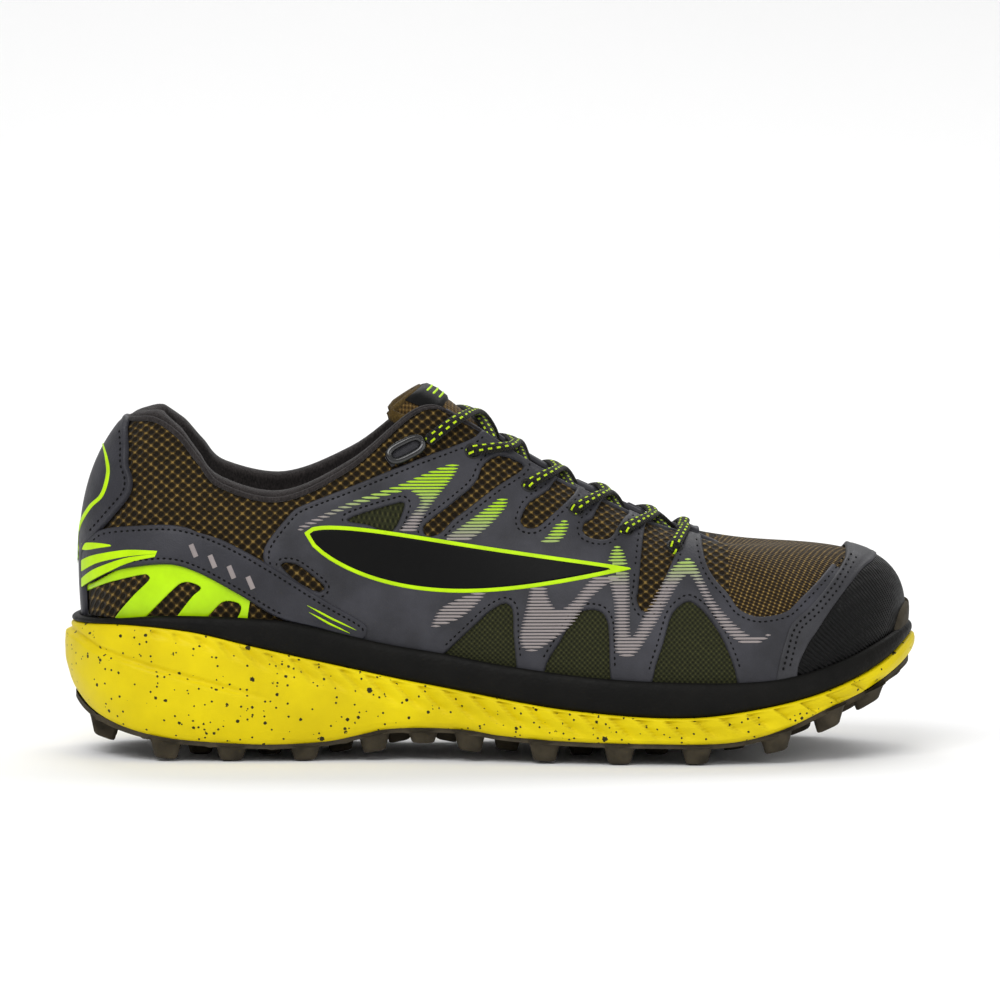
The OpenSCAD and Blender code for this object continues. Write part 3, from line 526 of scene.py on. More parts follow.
def crinkled(name):
    """Toe guard: black ribs running back and down, broken by a crinkle."""
    m = Mat(name, .46, .16)
    v = m.uv((1, 1, 1), math.radians(38))
    sep = m.node("SeparateXYZ")
    m.put(v, sep.inputs[0])
    warp = m.math("MULTIPLY", m.noise(m.solid(), 260, 3), 5)
    rib = m.math("SINE", m.math("ADD", m.math("MULTIPLY", sep.outputs[1], 2 * math.pi / .0016), warp))
    cut = m.math("SINE", m.math("MULTIPLY", sep.outputs[0], 2 * math.pi / .0034))
    h = m.math("MULTIPLY_ADD", rib, .5, m.math("MULTIPLY", cut, .22))
    m.color(m.ramp(h, [(.1, "#050505"), (.6, "#0d0d0d"), (.9, "#181817")]))
    m.rough(m.noise(m.solid(), 700, 2), .3, .6)
    m.bump(h, .0005, .8)
    m.bump(m.noise(m.solid(), 500, 4), .0004, .5)
    return m.m


def rim_foam():
    m = Mat("midsole_black", .58, .12)
    o = m.solid()
    m.color(m.ramp(m.noise(o, 70, 5), [(.3, "#070706"), (.75, "#11100e")]))
    m.bump(m.cells(o, 900).outputs["Distance"], .0002, .45)
    m.bump(m.noise(m.solid((.25, 1, 1)), 160, 4), .0005, .4)
    m.rough(m.noise(o, 260, 3), .42, .68)
    return m.m


def lace_cord():
    """Black braid with two broken rows of lime flecks on each face; u runs along in metres, v once round."""
    m = Mat("lace_braid", .8, .15, sheen=.08)
    u = m.node("UVMap", uv_map="mm")
    sep = m.node("SeparateXYZ")
    m.put(u.outputs["UV"], sep.inputs[0])
    along, round_ = sep.outputs[0], sep.outputs[1]
    marks = None
    for centre, shift in ((.17, 0), (.33, .5), (.67, .25), (.83, .75)):
        row = m.math("LESS_THAN", m.math("ABSOLUTE", m.math("SUBTRACT", round_, centre)), .03)
        dash = m.math("LESS_THAN", m.math("FRACT", m.math("MULTIPLY_ADD", along, 1 / .0032, shift)), .46)
        both = m.math("MULTIPLY", row, dash)
        marks = both if marks is None else m.math("MAXIMUM", marks, both)
    fray = m.noise(m.solid(), 2500, 3)
    a = m.math("SINE", m.math("MULTIPLY_ADD", along, 2 * math.pi / .0011, m.math("MULTIPLY", round_, 2 * math.pi * 5)))
    b = m.math("SINE", m.math("MULTIPLY_ADD", along, 2 * math.pi / .0011, m.math("MULTIPLY", round_, -2 * math.pi * 5)))
    braid = m.math("MULTIPLY_ADD", m.math("MAXIMUM", a, b), .5, .5)
    black = m.ramp(braid, [(.2, "#070707"), (.9, "#1d1c17")])
    lime = m.ramp(fray, [(.35, "#8fae08"), (.65, "#d2f01a")])
    m.color(m.mix(marks, black, lime))
    m.bump(braid, .0003, .8)
    m.bump(fray, .0002, .5)
    return m.m


def printed():
    """Hatched print whose lines run from lime to lilac grey, held in the mesh as a colour attribute."""
    m = Mat("hatch_print", .5, .2)
    a = m.node("VertexColor", layer_name="tint")
    n = m.noise(m.solid(), 1500, 2)
    m.color(m.mix(m.math("MULTIPLY", n, .25), a.outputs["Color"], "#55554f"))
    m.bump(n, .0001, .4)
    return m.m


LILAC = "#958c8b"
M = {
    "overlay": leather("overlay_grey", "#2c2c30", "#3c3c42"),
    "tab": leather("tab_grey", "#2b2b30", "#38383e", .46),
    "rand": leather("rand_grey", "#2e2e31", "#3e3e42"),
    # The mesh hole colours below are painted shade; the knot colours add a painted highlight to the yarn tone.
    "heel_mesh": open_mesh("heel_mesh_brown", .0027, "#080502", "#33270f", "#967a40", math.radians(45), size=.3),
    "vamp": open_mesh("vamp_mesh_brown", .0017, "#110b04", "#3a2b12", "#b09355", math.radians(20), 1.4, .0005, .24),
    "window": open_mesh("window_mesh_olive", .0013, "#14150a", "#2a2c18", "#4a4a2a", math.radians(45), 1, .0003),
    "film": plastic("film_lime", "#b6e600", .34, spec=.25),
    "lime": plastic("print_lime", "#bdea00", .45, spec=.2),
    "lilac": plastic("print_lilac", LILAC, .5, spec=.2),
    "black": plastic("mark_black", "#070707", .45, spec=.12),
    "collar": knit("collar_knit", "#211e1e", "#4a4544"),
    "inner": knit("inner_knit", "#2b2725", "#575049", .8),
    "lining": weave("lining_fabric", "#1d1c1b", "#37342f", .0012),
    "tongue": open_mesh("tongue_mesh_brown", .0016, "#1e1508", "#54401e", "#8a7042", math.radians(0), 1.4, .0003),
    "tongue_edge": knit("tongue_edge_knit", "#3d2f17", "#76602f", 1.2, .1),
    "thread": weave("thread_dark", "#060607", "#121214", .0005),
    "thread_grey": weave("thread_grey", "#2e2e32", "#67676b", .0005),
    "yellow": midsole_foam(), "rim": rim_foam(), "guard": crinkled("guard_black"),
    "rubber": rubber("outsole_rubber", "#2a261e", "#4a4336"),
    "lace": lace_cord(), "print": printed(),
    "hook": plastic("hook_black", "#0d0d0f", .22, .5),
    "aglet": plastic("aglet_clear_black", "#18181a", .25, .4),
    "web": weave("keeper_webbing", "#3b3b3f", "#5e5e63", .0011),
    "insole": weave("insole_fabric", "#2f2f31", "#4b4b4d", .0011),
    "board": weave("board_nonwoven", "#a9a294", "#cfc9ba", .0016),
    "counter": plastic("counter_board", "#b7b1a2", .7),
    "dark": plastic("eyelet_dark", "#050505", .6),
}


# ---------------------------------------------------------------- mesh building
def grid_faces(rows, count, closed=False):
    """Quads over rows of count points each; closed joins the ends of every row."""
    i, j = np.meshgrid(np.arange(rows - 1), np.arange(count if closed else count - 1), indexing="ij")
    a, b = (i * count + j).ravel(), (i * count + (j + 1) % count).ravel()
    return np.stack([a, b, b + count, a + count], 1)


def end_faces(rows, count):
    """One face over the first row and one over the last."""
    return np.arange(count)[None], ((rows - 1) * count + np.arange(count))[None, ::-1]


def piece(name, verts, faces, mat, body="shoe", nodes=(), slot=None, uv=None, tint=None, flat=False, padded=None):
    """One mesh from points in mm, riding on a body and standing for CAD nodes."""
    me = bpy.data.meshes.new(name)
    verts = np.asarray(verts, float) * .001
    faces = [np.asarray(f, int) for f in (faces if isinstance(faces, list) else [faces]) if len(f)]
    me.vertices.add(len(verts))
    me.vertices.foreach_set("co", verts.astype(np.float32).ravel())
    flatf = np.concatenate([f.ravel() for f in faces])
    sizes = np.concatenate([np.full(len(f), f.shape[1]) for f in faces])
    me.loops.add(len(flatf))
    me.loops.foreach_set("vertex_index", flatf.astype(np.int32))
    me.polygons.add(len(sizes))
    me.polygons.foreach_set("loop_start", np.concatenate([[0], np.cumsum(sizes)[:-1]]).astype(np.int32))
    me.polygons.foreach_set("loop_total", sizes.astype(np.int32))
    me.update(calc_edges=True)
    me.polygons.foreach_set("use_smooth", np.full(len(sizes), not flat))
    layer = me.uv_layers.new(name="mm")
    if uv is None:
        theta = np.arctan2(verts[:, 2] - .025, np.abs(verts[:, 1]) + 1e-7)
        uv = np.stack([verts[:, 0], np.sign(verts[:, 1]) * (math.pi / 2 - theta) * .045], 1)
    layer.data.foreach_set("uv", np.asarray(uv)[flatf].astype(np.float32).ravel())
    if tint is not None:
        a = me.color_attributes.new("tint", "FLOAT_COLOR", "POINT")
        a.data.foreach_set("color", np.asarray(tint, np.float32).ravel())
    me.materials.append(mat)
    me.validate()
    ob = bpy.data.objects.new(name, me)
    bpy.context.scene.collection.objects.link(ob)
    if body:
        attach(ob, body)
    if nodes:
        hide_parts(*([nodes] if isinstance(nodes, str) else nodes))
    return ob


def cut(val, tri, f, level):
    """Splits triangles along f = level; val holds one row per vertex."""
    g = f - level
    g = np.where(np.abs(g) < 1e-5, 1e-5, g)
    pos = g > 0
    cnt = pos[tri].sum(1)
    mixed = (cnt == 1) | (cnt == 2)
    if not mixed.any():
        return val, tri, f
    t, p = tri[mixed], pos[tri[mixed]]
    odd = np.where(cnt[mixed] == 1, p.argmax(1), (~p).argmax(1))
    t = t[np.arange(len(t))[:, None], (odd[:, None] + [0, 1, 2]) % 3]
    e = np.concatenate([t[:, [0, 1]], t[:, [0, 2]]])
    key, inv = np.unique(np.sort(e, 1), axis=0, return_inverse=True)
    inv = inv.ravel()
    w = (g[key[:, 0]] / (g[key[:, 0]] - g[key[:, 1]]))[:, None]
    new = val[key[:, 0]] * (1 - w) + val[key[:, 1]] * w
    n0, k = len(val), len(t)
    ab, ac = n0 + inv[:k], n0 + inv[k:]
    a, b, c = t.T
    tri = np.concatenate([tri[~mixed], np.stack([a, ab, ac], 1), np.stack([ab, b, c], 1), np.stack([ab, c, ac], 1)])
    return np.concatenate([val, new]), tri, np.concatenate([f, np.full(len(new), level)])


def weld(tri, n):
    used = np.unique(tri)
    remap = np.zeros(n, int)
    remap[used] = np.arange(len(used))
    return used, remap[tri]


AROUND, UPWARD = 330, 85  # mm on the upper for one unit of u and of v


def sheet_grid(u0, u1, v0, v1, step):
    nu, nv = max(2, int((u1 - u0) * AROUND / step)), max(2, int((v1 - v0) * UPWARD / step))
    u, v = np.meshgrid(np.linspace(u0, u1, nu + 1), np.linspace(v0, v1, nv + 1), indexing="ij")
    i, j = np.meshgrid(np.arange(nu), np.arange(nv), indexing="ij")
    a = (i * (nv + 1) + j).ravel()
    b, c, d = a + nv + 1, a + nv + 2, a + 1
    flip = ((i + j) % 2 == 0).ravel()
    t1 = np.where(flip[:, None], np.stack([a, d, c], 1), np.stack([a, d, b], 1))
    t2 = np.where(flip[:, None], np.stack([a, c, b], 1), np.stack([d, c, b], 1))
    return np.stack([u.ravel(), v.ravel()], 1), np.concatenate([t1, t2])


def panel(name, mat, span, field, low, top, edge=.8, step=1.1, relief=None, side_uv=False, **kw):
    """A cut piece of sheet lying on the lasted surface, from low to top mm above it, with a rounded edge."""
    uv, tri = sheet_grid(*span, step)
    p = skin(uv[:, 0], uv[:, 1])
    f = field(p, uv[:, 0], uv[:, 1])
    near = f[tri].max(1) > -.01
    used, tri = weld(tri[near], len(uv))
    uv, f = uv[used], f[used]
    levels = [0, edge * .12, edge * .4, edge] if edge > 0 else [0]
    for level in levels:
        uv, tri, f = cut(uv, tri, f, level)
    tri = tri[f[tri].mean(1) > 1e-4]
    used, tri = weld(tri, len(uv))
    uv, f = uv[used], f[used]
    p, n = skin(uv[:, 0], uv[:, 1]), skin_normal(uv[:, 0], uv[:, 1])
    r = np.sqrt(np.clip(1 - (1 - np.clip(f / max(edge, 1e-3), 0, 1)) ** 2, 0, 1)) if edge > 0 else np.ones(len(f))
    h = low + (top - low) * r
    if relief is not None:
        h = h + relief(p, f, uv)
    if top < low:
        tri = tri[:, ::-1]
    flat = np.stack([p[:, 0], p[:, 2] + .5 * (45 - np.abs(p[:, 1]))], 1) * .001 if side_uv else None
    return piece(name, p + n * h[:, None], tri, mat, uv=flat, **kw)


def side_field(keep, cuts=()):
    def f(p, u, v):
        x, z = view_xz(p, u)
        d = inside(keep, x, z)
        for c in cuts:
            d = np.minimum(d, -inside(c, x, z))
        return d
    return f


def surface_points(x, z, side, o):
    u, v = place(x, z, side)
    n = skin_normal(u, v)
    return skin(u, v) + n * np.asarray(o)[..., None] if np.ndim(o) else skin(u, v) + n * o, n


def resample(line, pitch, closed):
    p = np.concatenate([line, line[:1]]) if closed else np.asarray(line)
    d = np.concatenate([[0], np.cumsum(np.linalg.norm(np.diff(p, axis=0), axis=1))])
    k = max(2, int(d[-1] / pitch))
    t = np.linspace(0, d[-1], k + (0 if closed else 1), endpoint=not closed)
    return np.stack([np.interp(t, d, p[:, 0]), np.interp(t, d, p[:, 1])], 1)


def offset_line(poly, d, closed=True):
    """Outline moved by d towards its inside, with folded-over stretches dropped."""
    p = resample(poly, .6, closed)
    t = np.roll(p, -1, 0) - np.roll(p, 1, 0)
    if not closed:
        t[0], t[-1] = p[1] - p[0], p[-1] - p[-2]
    t /= np.maximum(np.linalg.norm(t, axis=1, keepdims=True), 1e-9)
    n = np.stack([-t[:, 1], t[:, 0]], 1)
    if closed:
        area = (p[:, 0] * np.roll(p[:, 1], -1) - np.roll(p[:, 0], -1) * p[:, 1]).sum()
        n *= np.sign(area)
    q = p + n * d
    if closed:
        q = q[np.abs(inside(poly, q[:, 0], q[:, 1])) > abs(d) - .12]
    return q


def capsules(centres, dirs, ups, length, width, height):
    """Short rounded stitches; returns one mesh."""
    k = 6
    prof = [(-.5, .35), (-.32, .95), (0, 1), (.32, .95), (.5, .35)]
    ang = np.linspace(0, 2 * math.pi, k, endpoint=False)
    side = np.cross(ups, dirs)
    side /= np.maximum(np.linalg.norm(side, axis=1, keepdims=True), 1e-9)
    rows = []
    for t, r in prof:
        for a in ang:
            rows.append(centres + dirs * (t * length) + side * (r * math.cos(a) * width / 2)
                        + ups * (r * math.sin(a) * height / 2 - abs(t) * height * .5))
    v = np.stack(rows, 1)
    n = len(centres)
    base = (np.arange(n) * len(prof) * k)[:, None]
    quads = []
    for j in range(len(prof) - 1):
        for i in range(k):
            quads.append(base + [j * k + i, j * k + (i + 1) % k, (j + 1) * k + (i + 1) % k, (j + 1) * k + i])
    q = np.concatenate(quads)
    caps = np.concatenate([base + np.arange(k)[::-1], base + (len(prof) - 1) * k + np.arange(k)])
    return v.reshape(-1, 3), q, caps


def stitch_rows(name, lines, side, offset, keep, pitch=2.0, length=1.25, width=.75, height=.6):
    vs, qs, cs, at = [], [], [], 0
    for line, closed in lines:
        p = resample(line, pitch, closed)
        ok = keep(p[:, 0], p[:, 1])
        gap = np.linalg.norm(np.roll(p, -1, 0) - p, axis=1) < pitch * 2
        if ok.sum() < 2:
            continue
        c, n = surface_points(p[:, 0], p[:, 1], side, offset)
        d = np.roll(c, -1, 0) - np.roll(c, 1, 0)
        if not closed:
            d[0], d[-1] = c[1] - c[0], c[-1] - c[-2]
        d -= n * (d * n).sum(1, keepdims=True)
        d /= np.maximum(np.linalg.norm(d, axis=1, keepdims=True), 1e-9)
        ok &= gap | ~np.array(closed)
        v, q, s = capsules(c[ok], d[ok], n[ok], length, width, height)
        vs.append(v)
        qs.append(q + at)
        cs.append(s + at)
        at += len(v)
    return piece(name, np.concatenate(vs), [np.concatenate(qs), np.concatenate(cs)], M["thread"])


def ribbon(name, line, side, offset, half, mat, rise=.28, taper=None, **kw):
    """Thin raised line along a side-view curve, half mm to each side."""
    p = resample(line, .8, False)
    t = np.gradient(p, axis=0)
    t /= np.linalg.norm(t, axis=1, keepdims=True)
    n2 = np.stack([-t[:, 1], t[:, 0]], 1)
    w = np.full(len(p), half)
    if taper is not None:
        w = np.interp(np.linspace(0, 1, len(p)), np.linspace(0, 1, len(taper)), taper)
    rows = []
    for e, h in ((-1, -.1), (-.8, rise * .8), (0, rise), (.8, rise * .8), (1, -.1)):
        q = p + n2 * (w * e)[:, None]
        rows.append(surface_points(q[:, 0], q[:, 1], side, offset + h)[0])
    return piece(name, np.stack(rows, 1).reshape(-1, 3), grid_faces(len(p), 5), M[mat], **kw)


def groove(depth=.2, at=1.9, wide=.45):
    """Pressed line running beside a panel's edge, where its stitches lie."""
    return lambda p, f, uv: -depth * np.exp(-((f - at) / wide) ** 2)


NAMES = {-1: "lateral", 1: "medial"}


def reach(a, b, side):
    """Span in u of side-view panels from a to b, counted from the toe."""
    return (a, b) if side < 0 else (2 - b, 2 - a)


# ---------------------------------------------------------------- upper: meshes, overlays and trims
def edge_gap(v):
    return (1 - v) * 70


def x_field(lo, hi):
    return lambda p, u, v: np.minimum(p[..., 0] - lo, hi - p[..., 0])


def side_panels(sd, nm):
    """Meshes, cage, film, strap and mark of one side."""
    panel(nm + "_quarter_mesh_skin", M["heel_mesh"], (*reach(.2, 1, sd), 0, 1), x_field(-200, 83), 0, 0, 0, 1.6,
          side_uv=True, nodes=nm + "_quarter_mesh", slot="brown_mesh")
    panel(nm + "_window_mesh_skin", M["window"], (*reach(.2, .8, sd), 0, .95),
          lambda p, u, v: np.maximum(inside(WINDOW_MESH, *view_xz(p, u)), inside(PATCH, *view_xz(p, u))),
          .05, .4, .3, 1.4,
          nodes=nm + "_window_mesh", slot="green_mesh")
    panel(nm + "_eyestay_backer_skin", M["lining"], (*reach(.2, .64, sd), .3, 1),
          lambda p, u, v: np.minimum(edge_gap(v) - 1.5, 17 - edge_gap(v) * 1.1), -1.8, -1.4, .3, 3,
          nodes=nm + "_eyestay_backer", slot="backer")
    cage = side_field(CAGE, [TRIANGLE, DIAMOND, *SLOTS, *WINDOWS])
    panel(nm + "_cage_overlay", M["overlay"], (*reach(.15, .88, sd), 0, 1),
          lambda p, u, v: np.minimum(cage(p, u, v), edge_gap(v) - .2), .3, 1.6, .85, 1.0,
          relief=groove(.25), nodes=nm + "_cage", slot="overlay")
    panel(nm + "_heel_film_skin", M["film"], (*reach(.7, 1, sd), 0, .5), side_field(FILM, FILM_CUTS), .15, .6, .4, .8,
          nodes=nm + "_heel_film", slot="lime_film")
    panel(nm + "_heel_strap_overlay", M["tab"], (*reach(.62, 1, sd), 0, .6), side_field(STRAP), .6, 2.3, .8, .9,
          relief=groove(), nodes=nm + "_heel_strap", slot="overlay")
    panel(nm + "_mark_outline", M["lime"], (*reach(.3, .88, sd), .2, .95), side_field(EMBLEM), 1.4, 1.85, .25, .7)
    panel(nm + "_mark_plate", M["black"], (*reach(.3, .88, sd), .2, .95),
          lambda p, u, v: inside(EMBLEM, *view_xz(p, u)) - 1.35, 1.7, 2.15, .5, .7, nodes=nm + "_emblem", slot="emblem")


def strap_trim(sd, nm):
    """Printed flashes, lines and bars on the heel strap."""
    for k, flash in enumerate(FLASHES):
        panel(f"{nm}_strap_flash_{k}", M["lime"], (*reach(.8, 1, sd), .1, .6),
              lambda p, u, v: np.minimum(inside(flash, *view_xz(p, u)), p[..., 0] - FLASH_START), 2.2, 2.5, .2, .5)
    for k, (a, b) in enumerate((((-65, 54.6), (-47.8, 45.9)), ((-64.3, 52.2), (-50, 44.8)))):
        ribbon(f"{nm}_strap_pinstripe_{k}", [a, ((a[0] + b[0]) / 2, (a[1] + b[1]) / 2 - .3), b], sd, 2.3, .35, "lime",
               .15, taper=[.05, .35, .4, .3, .05])
    for k in range(4):
        c = np.array([-104.5, 73.2]) + np.array([6.6, -3.6]) * k
        ribbon(f"{nm}_strap_bar_{k}", [c + (-.9, 2.1), c, c + (.9, -2.1)], sd, 2.3, .95, "lilac", .15)


def side_stitches(sd, nm):
    """Stitch rows of one side."""
    lines = [(offset_line(CAGE, 2), True), (offset_line(TRIANGLE, -2), True), (offset_line(DIAMOND, -1.6), True)]
    lines += [(offset_line(w, -1.9), True) for w in SLOTS + WINDOWS]

    def on_cage(x, z):
        ok = inside(CAGE, x, z) > 1.5
        for w in [TRIANGLE, DIAMOND, *SLOTS, *WINDOWS]:
            ok &= inside(w, x, z) < -1.3
        u, v = place(x, z, sd)
        p = skin(u, v)
        miss = np.hypot(view_xz(p, u)[0] - x, view_xz(p, u)[1] - z)
        rim_top = curve(x, FEATHER) + 3
        return (ok & (miss < .4) & (v < .97) & (z > rim_top) & (inside(STRAP, x, z) < -.5)
                & (inside(RAND, x, z) < -.3) & (inside(EMBLEM, x, z) < -.6))

    stitch_rows(nm + "_cage_stitches", lines, sd, 1.45, on_cage)
    stitch_rows(nm + "_strap_stitches", [(offset_line(STRAP, 1.9), True)], sd, 2.2,
                lambda x, z: (z > curve(x, FEATHER) + 2.5) & (inside(TAB, x, z) < -.5) & (inside(STRAP, x, z) > 1))
    stitch_rows(nm + "_rand_stitches", [(offset_line(RAND_EDGE, -d, False), False) for d in (1.7, 3.6)], sd, 2.35,
                lambda x, z: (z > curve(x, FEATHER) + 2.5) & (x < 134), pitch=1.9, length=1.1)
    stitch_rows(nm + "_tab_stitches", [(offset_line(TAB, 1.9), True)], sd, 2.6,
                lambda x, z: (z > 80) & (z < 116) & (x > -141))


def hatch_print(sd, nm):
    """Level printed lines that fill the hatch outlines; z0 to z1 turns them lime by up to most."""
    vs, qs, cs, at = [], [], [], 0
    for poly, z0, z1, most in HATCHES:
        poly = loop(poly)
        for zk in np.arange(poly[:, 1].min() + .5, poly[:, 1].max(), 1.12):
            b = np.roll(poly, -1, 0)
            hit = (poly[:, 1] > zk) != (b[:, 1] > zk)
            xs = np.sort(poly[hit, 0] + (zk - poly[hit, 1]) / (b[hit, 1] - poly[hit, 1]) * (b[hit, 0] - poly[hit, 0]))
            for x0, x1 in zip(xs[::2], xs[1::2]):
                if x1 - x0 < .7:
                    continue
                xx = np.linspace(x0, x1, max(3, int((x1 - x0) / 1.2)))
                bulk = (np.sin(np.linspace(0, math.pi, len(xx))) * 3 + .2).clip(0, 1)
                tone = np.clip((zk - z0) / (z1 - z0), 0, 1)
                tone = tone * tone * (3 - 2 * tone) * most
                col = np.array(lin(LILAC)) * (1 - tone) + np.array(lin("#a9d60c")) * tone
                if inside(EMBLEM, xx, xx * 0 + zk).max() > -.3:
                    ok = inside(EMBLEM, xx, xx * 0 + zk) < -.2
                    if ok.sum() < 3 or np.diff(np.flatnonzero(ok)).max() > 1:
                        continue
                    xx, bulk = xx[ok], bulk[ok]
                rows = [surface_points(xx, zk + e * bulk, sd, 1.6 + h)[0] for e, h in
                        ((-.4, -.05), (-.33, .12), (.33, .12), (.4, -.05))]
                vs.append(np.stack(rows, 1).reshape(-1, 3))
                qs.append(grid_faces(len(xx), 4) + at)
                cs.append(np.tile(col, (len(xx) * 4, 1)))
                at += len(xx) * 4
    piece(nm + "_hatch_print", np.concatenate(vs), np.concatenate(qs), M["print"], tint=np.concatenate(cs))


for sd, nm in NAMES.items():
    side_panels(sd, nm)
    strap_trim(sd, nm)
    side_stitches(sd, nm)
    hatch_print(sd, nm)

panel("vamp_mesh_skin", M["vamp"], (-.46, .46, 0, 1),
      lambda p, u, v: np.maximum(p[..., 0] - 82.9, (.202 - np.abs(u)) * 300), 0, 0, 0, 1.5, nodes="vamp_mesh",
      slot="brown_mesh")
panel("heel_tab_overlay", M["tab"], (.84, 1.16, 0, 1),
      lambda p, u, v: np.minimum(inside(TAB, *view_xz(p, u)), edge_gap(v) - .1), .8, 2.6, .8, .8,
      relief=groove(), nodes="heel_tab", slot="overlay")
panel("toe_rand_overlay", M["rand"], (-.46, .46, 0, .95), side_field(RAND), .9, 2.3, .7, .8,
      relief=groove(at=1.8, wide=.4), nodes="toe_rand", slot="overlay")
panel("toe_guard_skin", M["guard"], (-.46, .46, 0, .95), side_field(GUARD), .3, 1.7, .7, .9, nodes="toe_guard",
      slot="guard")
panel("toe_bumper_skin", M["rubber"], (-.2, .2, 0, .5),
      side_field(loop([(141, 40), (141.5, 50), (146, 57), (151, 60), (158, 60), (158, 40)])), 1.4, 3.2, 1.2, .7,
      nodes="toe_bumper", slot="outsole_rubber")
panel("toe_puff_skin", M["counter"], (-.3, .3, 0, .9), x_field(120, 200), -1.8, -1.4, .3, 3, nodes="toe_puff",
      slot="backer")
panel("heel_counter_skin", M["counter"], (.66, 1.34, 0, .8),
      side_field(loop([(-170, 20), (-62, 20), (-62, 48), (-70, 62), (-84, 70), (-100, 73), (-130, 75), (-170, 75)])),
      -2.9, -1.5, .4, 3, nodes="heel_counter", slot="board")
panel("forefoot_lining_skin", M["lining"], (-.66, .66, 0, 1),
      side_field(loop([(-56, 0), (-62, 50), (-68, 66), (-60, 84), (-38, 97), (-28, 108), (-22, 170), (100, 170),
                       (160, 170), (160, 0), (50, 0)])), -2.1, -2.8, 0, 2.2, nodes="forefoot_lining", slot="lining")
panel("heel_lining_skin", M["inner"], (.58, 1.42, 0, .9),
      side_field(loop([(-170, 18), (-52, 18), (-54, 48), (-64, 70), (-84, 80), (-110, 84), (-170, 84)])),
      -3.3, -4.2, 0, 2.2,
      nodes="heel_lining", slot="lining")
for sd in (-1, 1):
    ribbon(NAMES[sd] + "_tab_line", open_curve(TAB_LINE), sd, 2.6, .62, "lime", .3, taper=[.2, .6, .65, .65, .6, .3])


# ---------------------------------------------------------------- swept pieces
def smooth(a, b, x):
    t = np.clip((x - a) / (b - a), 0, 1)
    return t * t * (3 - 2 * t)


def unit(a):
    return a / np.maximum(np.linalg.norm(a, axis=-1, keepdims=True), 1e-9)


def smooth_path(points, pitch):
    p = open_curve(points, 12)
    d = np.concatenate([[0], np.cumsum(np.linalg.norm(np.diff(p, axis=0), axis=1))])
    t = np.linspace(0, d[-1], max(4, int(d[-1] / pitch)))
    return np.stack([np.interp(t, d, p[:, i]) for i in range(3)], 1), t


def sweep(name, path, along, up, wide, high, n, mat, **kw):
    """Oval tube; wide and high are half sizes, numbers or one per point."""
    t = unit(np.gradient(path, axis=0))
    up = unit(up - t * (up * t).sum(1, keepdims=True))
    side = np.cross(t, up)
    wide, high = np.broadcast_to(wide, len(path)), np.broadcast_to(high, len(path))
    rows, uvs = [], []
    for k in range(n + 1):
        a = 2 * math.pi * k / n
        rows.append(path + side * (math.cos(a) * wide)[:, None] + up * (math.sin(a) * high)[:, None])
        uvs.append(np.stack([along * .001, np.full(len(path), k / n)], 1))
    v, uv = np.stack(rows, 1), np.stack(uvs, 1)
    quads = grid_faces(len(path), n + 1)[:, [0, 3, 2, 1]]
    caps = [np.arange(n)[None], ((len(path) - 1) * (n + 1) + np.arange(n))[None, ::-1]]
    return piece(name, v.reshape(-1, 3), [quads, caps[0], caps[1]], mat, uv=uv.reshape(-1, 2), **kw)


COLLAR_END = .575


def collar():
    """Padded collar: a roll over the top edge and the padded lining below it, as one closed form."""
    u = np.linspace(COLLAR_END, 2 - COLLAR_END, 170)
    top = skin(u, 1.0 + 0 * u)
    n0 = skin_normal(u, RIM_V + 0 * u)
    h = unit(n0 * [1, 1, 0])
    ends = .18 + .82 * smooth(0, .1, np.minimum(u, 2 - u) - COLLAR_END)
    z = np.array([0, 0, 1.0])
    c = top - h * (3.7 * ends)[:, None] + z * (.4 * ends)[:, None]
    rows = [top - h * .5 - z * 3]
    for a in np.radians(np.linspace(-25, 200, 16)):
        rows.append(c + h * (3.9 * math.cos(a) * ends)[:, None] + z * (2.4 * math.sin(a) * ends)[:, None])
    for t in np.linspace(0, 1, 12)[1:]:
        v = .97 - .42 * t
        bulge = 7.3 + 1.3 * math.sin(math.pi * min(1, t * 1.15))
        q, m = skin(u, v + 0 * u), skin_normal(u, v + 0 * u)
        rows.append(q - m * (bulge * (.4 + .6 * ends))[:, None])
    for v, o in ((.53, 5), (.54, 2.2), (.7, 1.2), (.85, 1.0), (.96, .7)):
        rows.append(skin(u, v + 0 * u) - skin_normal(u, v + 0 * u) * o)
    size = len(u), len(rows)
    piece("collar_pad", np.stack(rows, 1).reshape(-1, 3), [grid_faces(*size, True), *end_faces(*size)], M["collar"],
          nodes=("collar_binding", "collar_foam", "collar_lining"), slot="binding", padded=.8)


collar()
cu = np.linspace(.5, 1.5, 240)
path = skin(cu, .992 + 0 * cu) + skin_normal(cu, RIM_V + 0 * cu) * .5
slim = .4 + .6 * smooth(.56, .67, np.minimum(cu, 2 - cu))
sweep("collar_piping", path, cu * AROUND, skin_normal(cu, RIM_V + 0 * cu), slim, 1.1 * slim, 10, M["collar"])
cu = np.linspace(-COLLAR_END, COLLAR_END, 260)
nn = skin_normal(cu, RIM_V + 0 * cu)
path = skin(cu, .996 + 0 * cu) - nn * .5
sweep("throat_edge_roll", path, cu * AROUND, nn, .9, 1.35, 10, M["overlay"])


TONGUE_UV = np.array([.0013, .001])


def tongue_at(t, f, depth):
    """Point on the tongue: t counts its rows, f runs -1 to 1 across, depth is down from its top face."""
    r = np.array(TONGUE, float)
    k = np.arange(len(r))
    x, z, w, th = (np.interp(t, k, r[:, i]) for i in range(4))
    e = .6
    dx = np.interp(t + e, k, r[:, 0]) - np.interp(t - e, k, r[:, 0])
    dz = np.interp(t + e, k, r[:, 1]) - np.interp(t - e, k, r[:, 1])
    n = np.hypot(dx, dz)
    up = np.stack([dz / n, 0 * t, -dx / n], -1)
    y = f * w
    drop = TONGUE_BOW - np.sqrt(TONGUE_BOW**2 - y**2) + depth * th
    back = f * f * smooth(8, 11, t)
    return np.stack([x - 8 * back, y + curve(x, RIDGE), z - 3 * back], -1) - up * drop[..., None], up


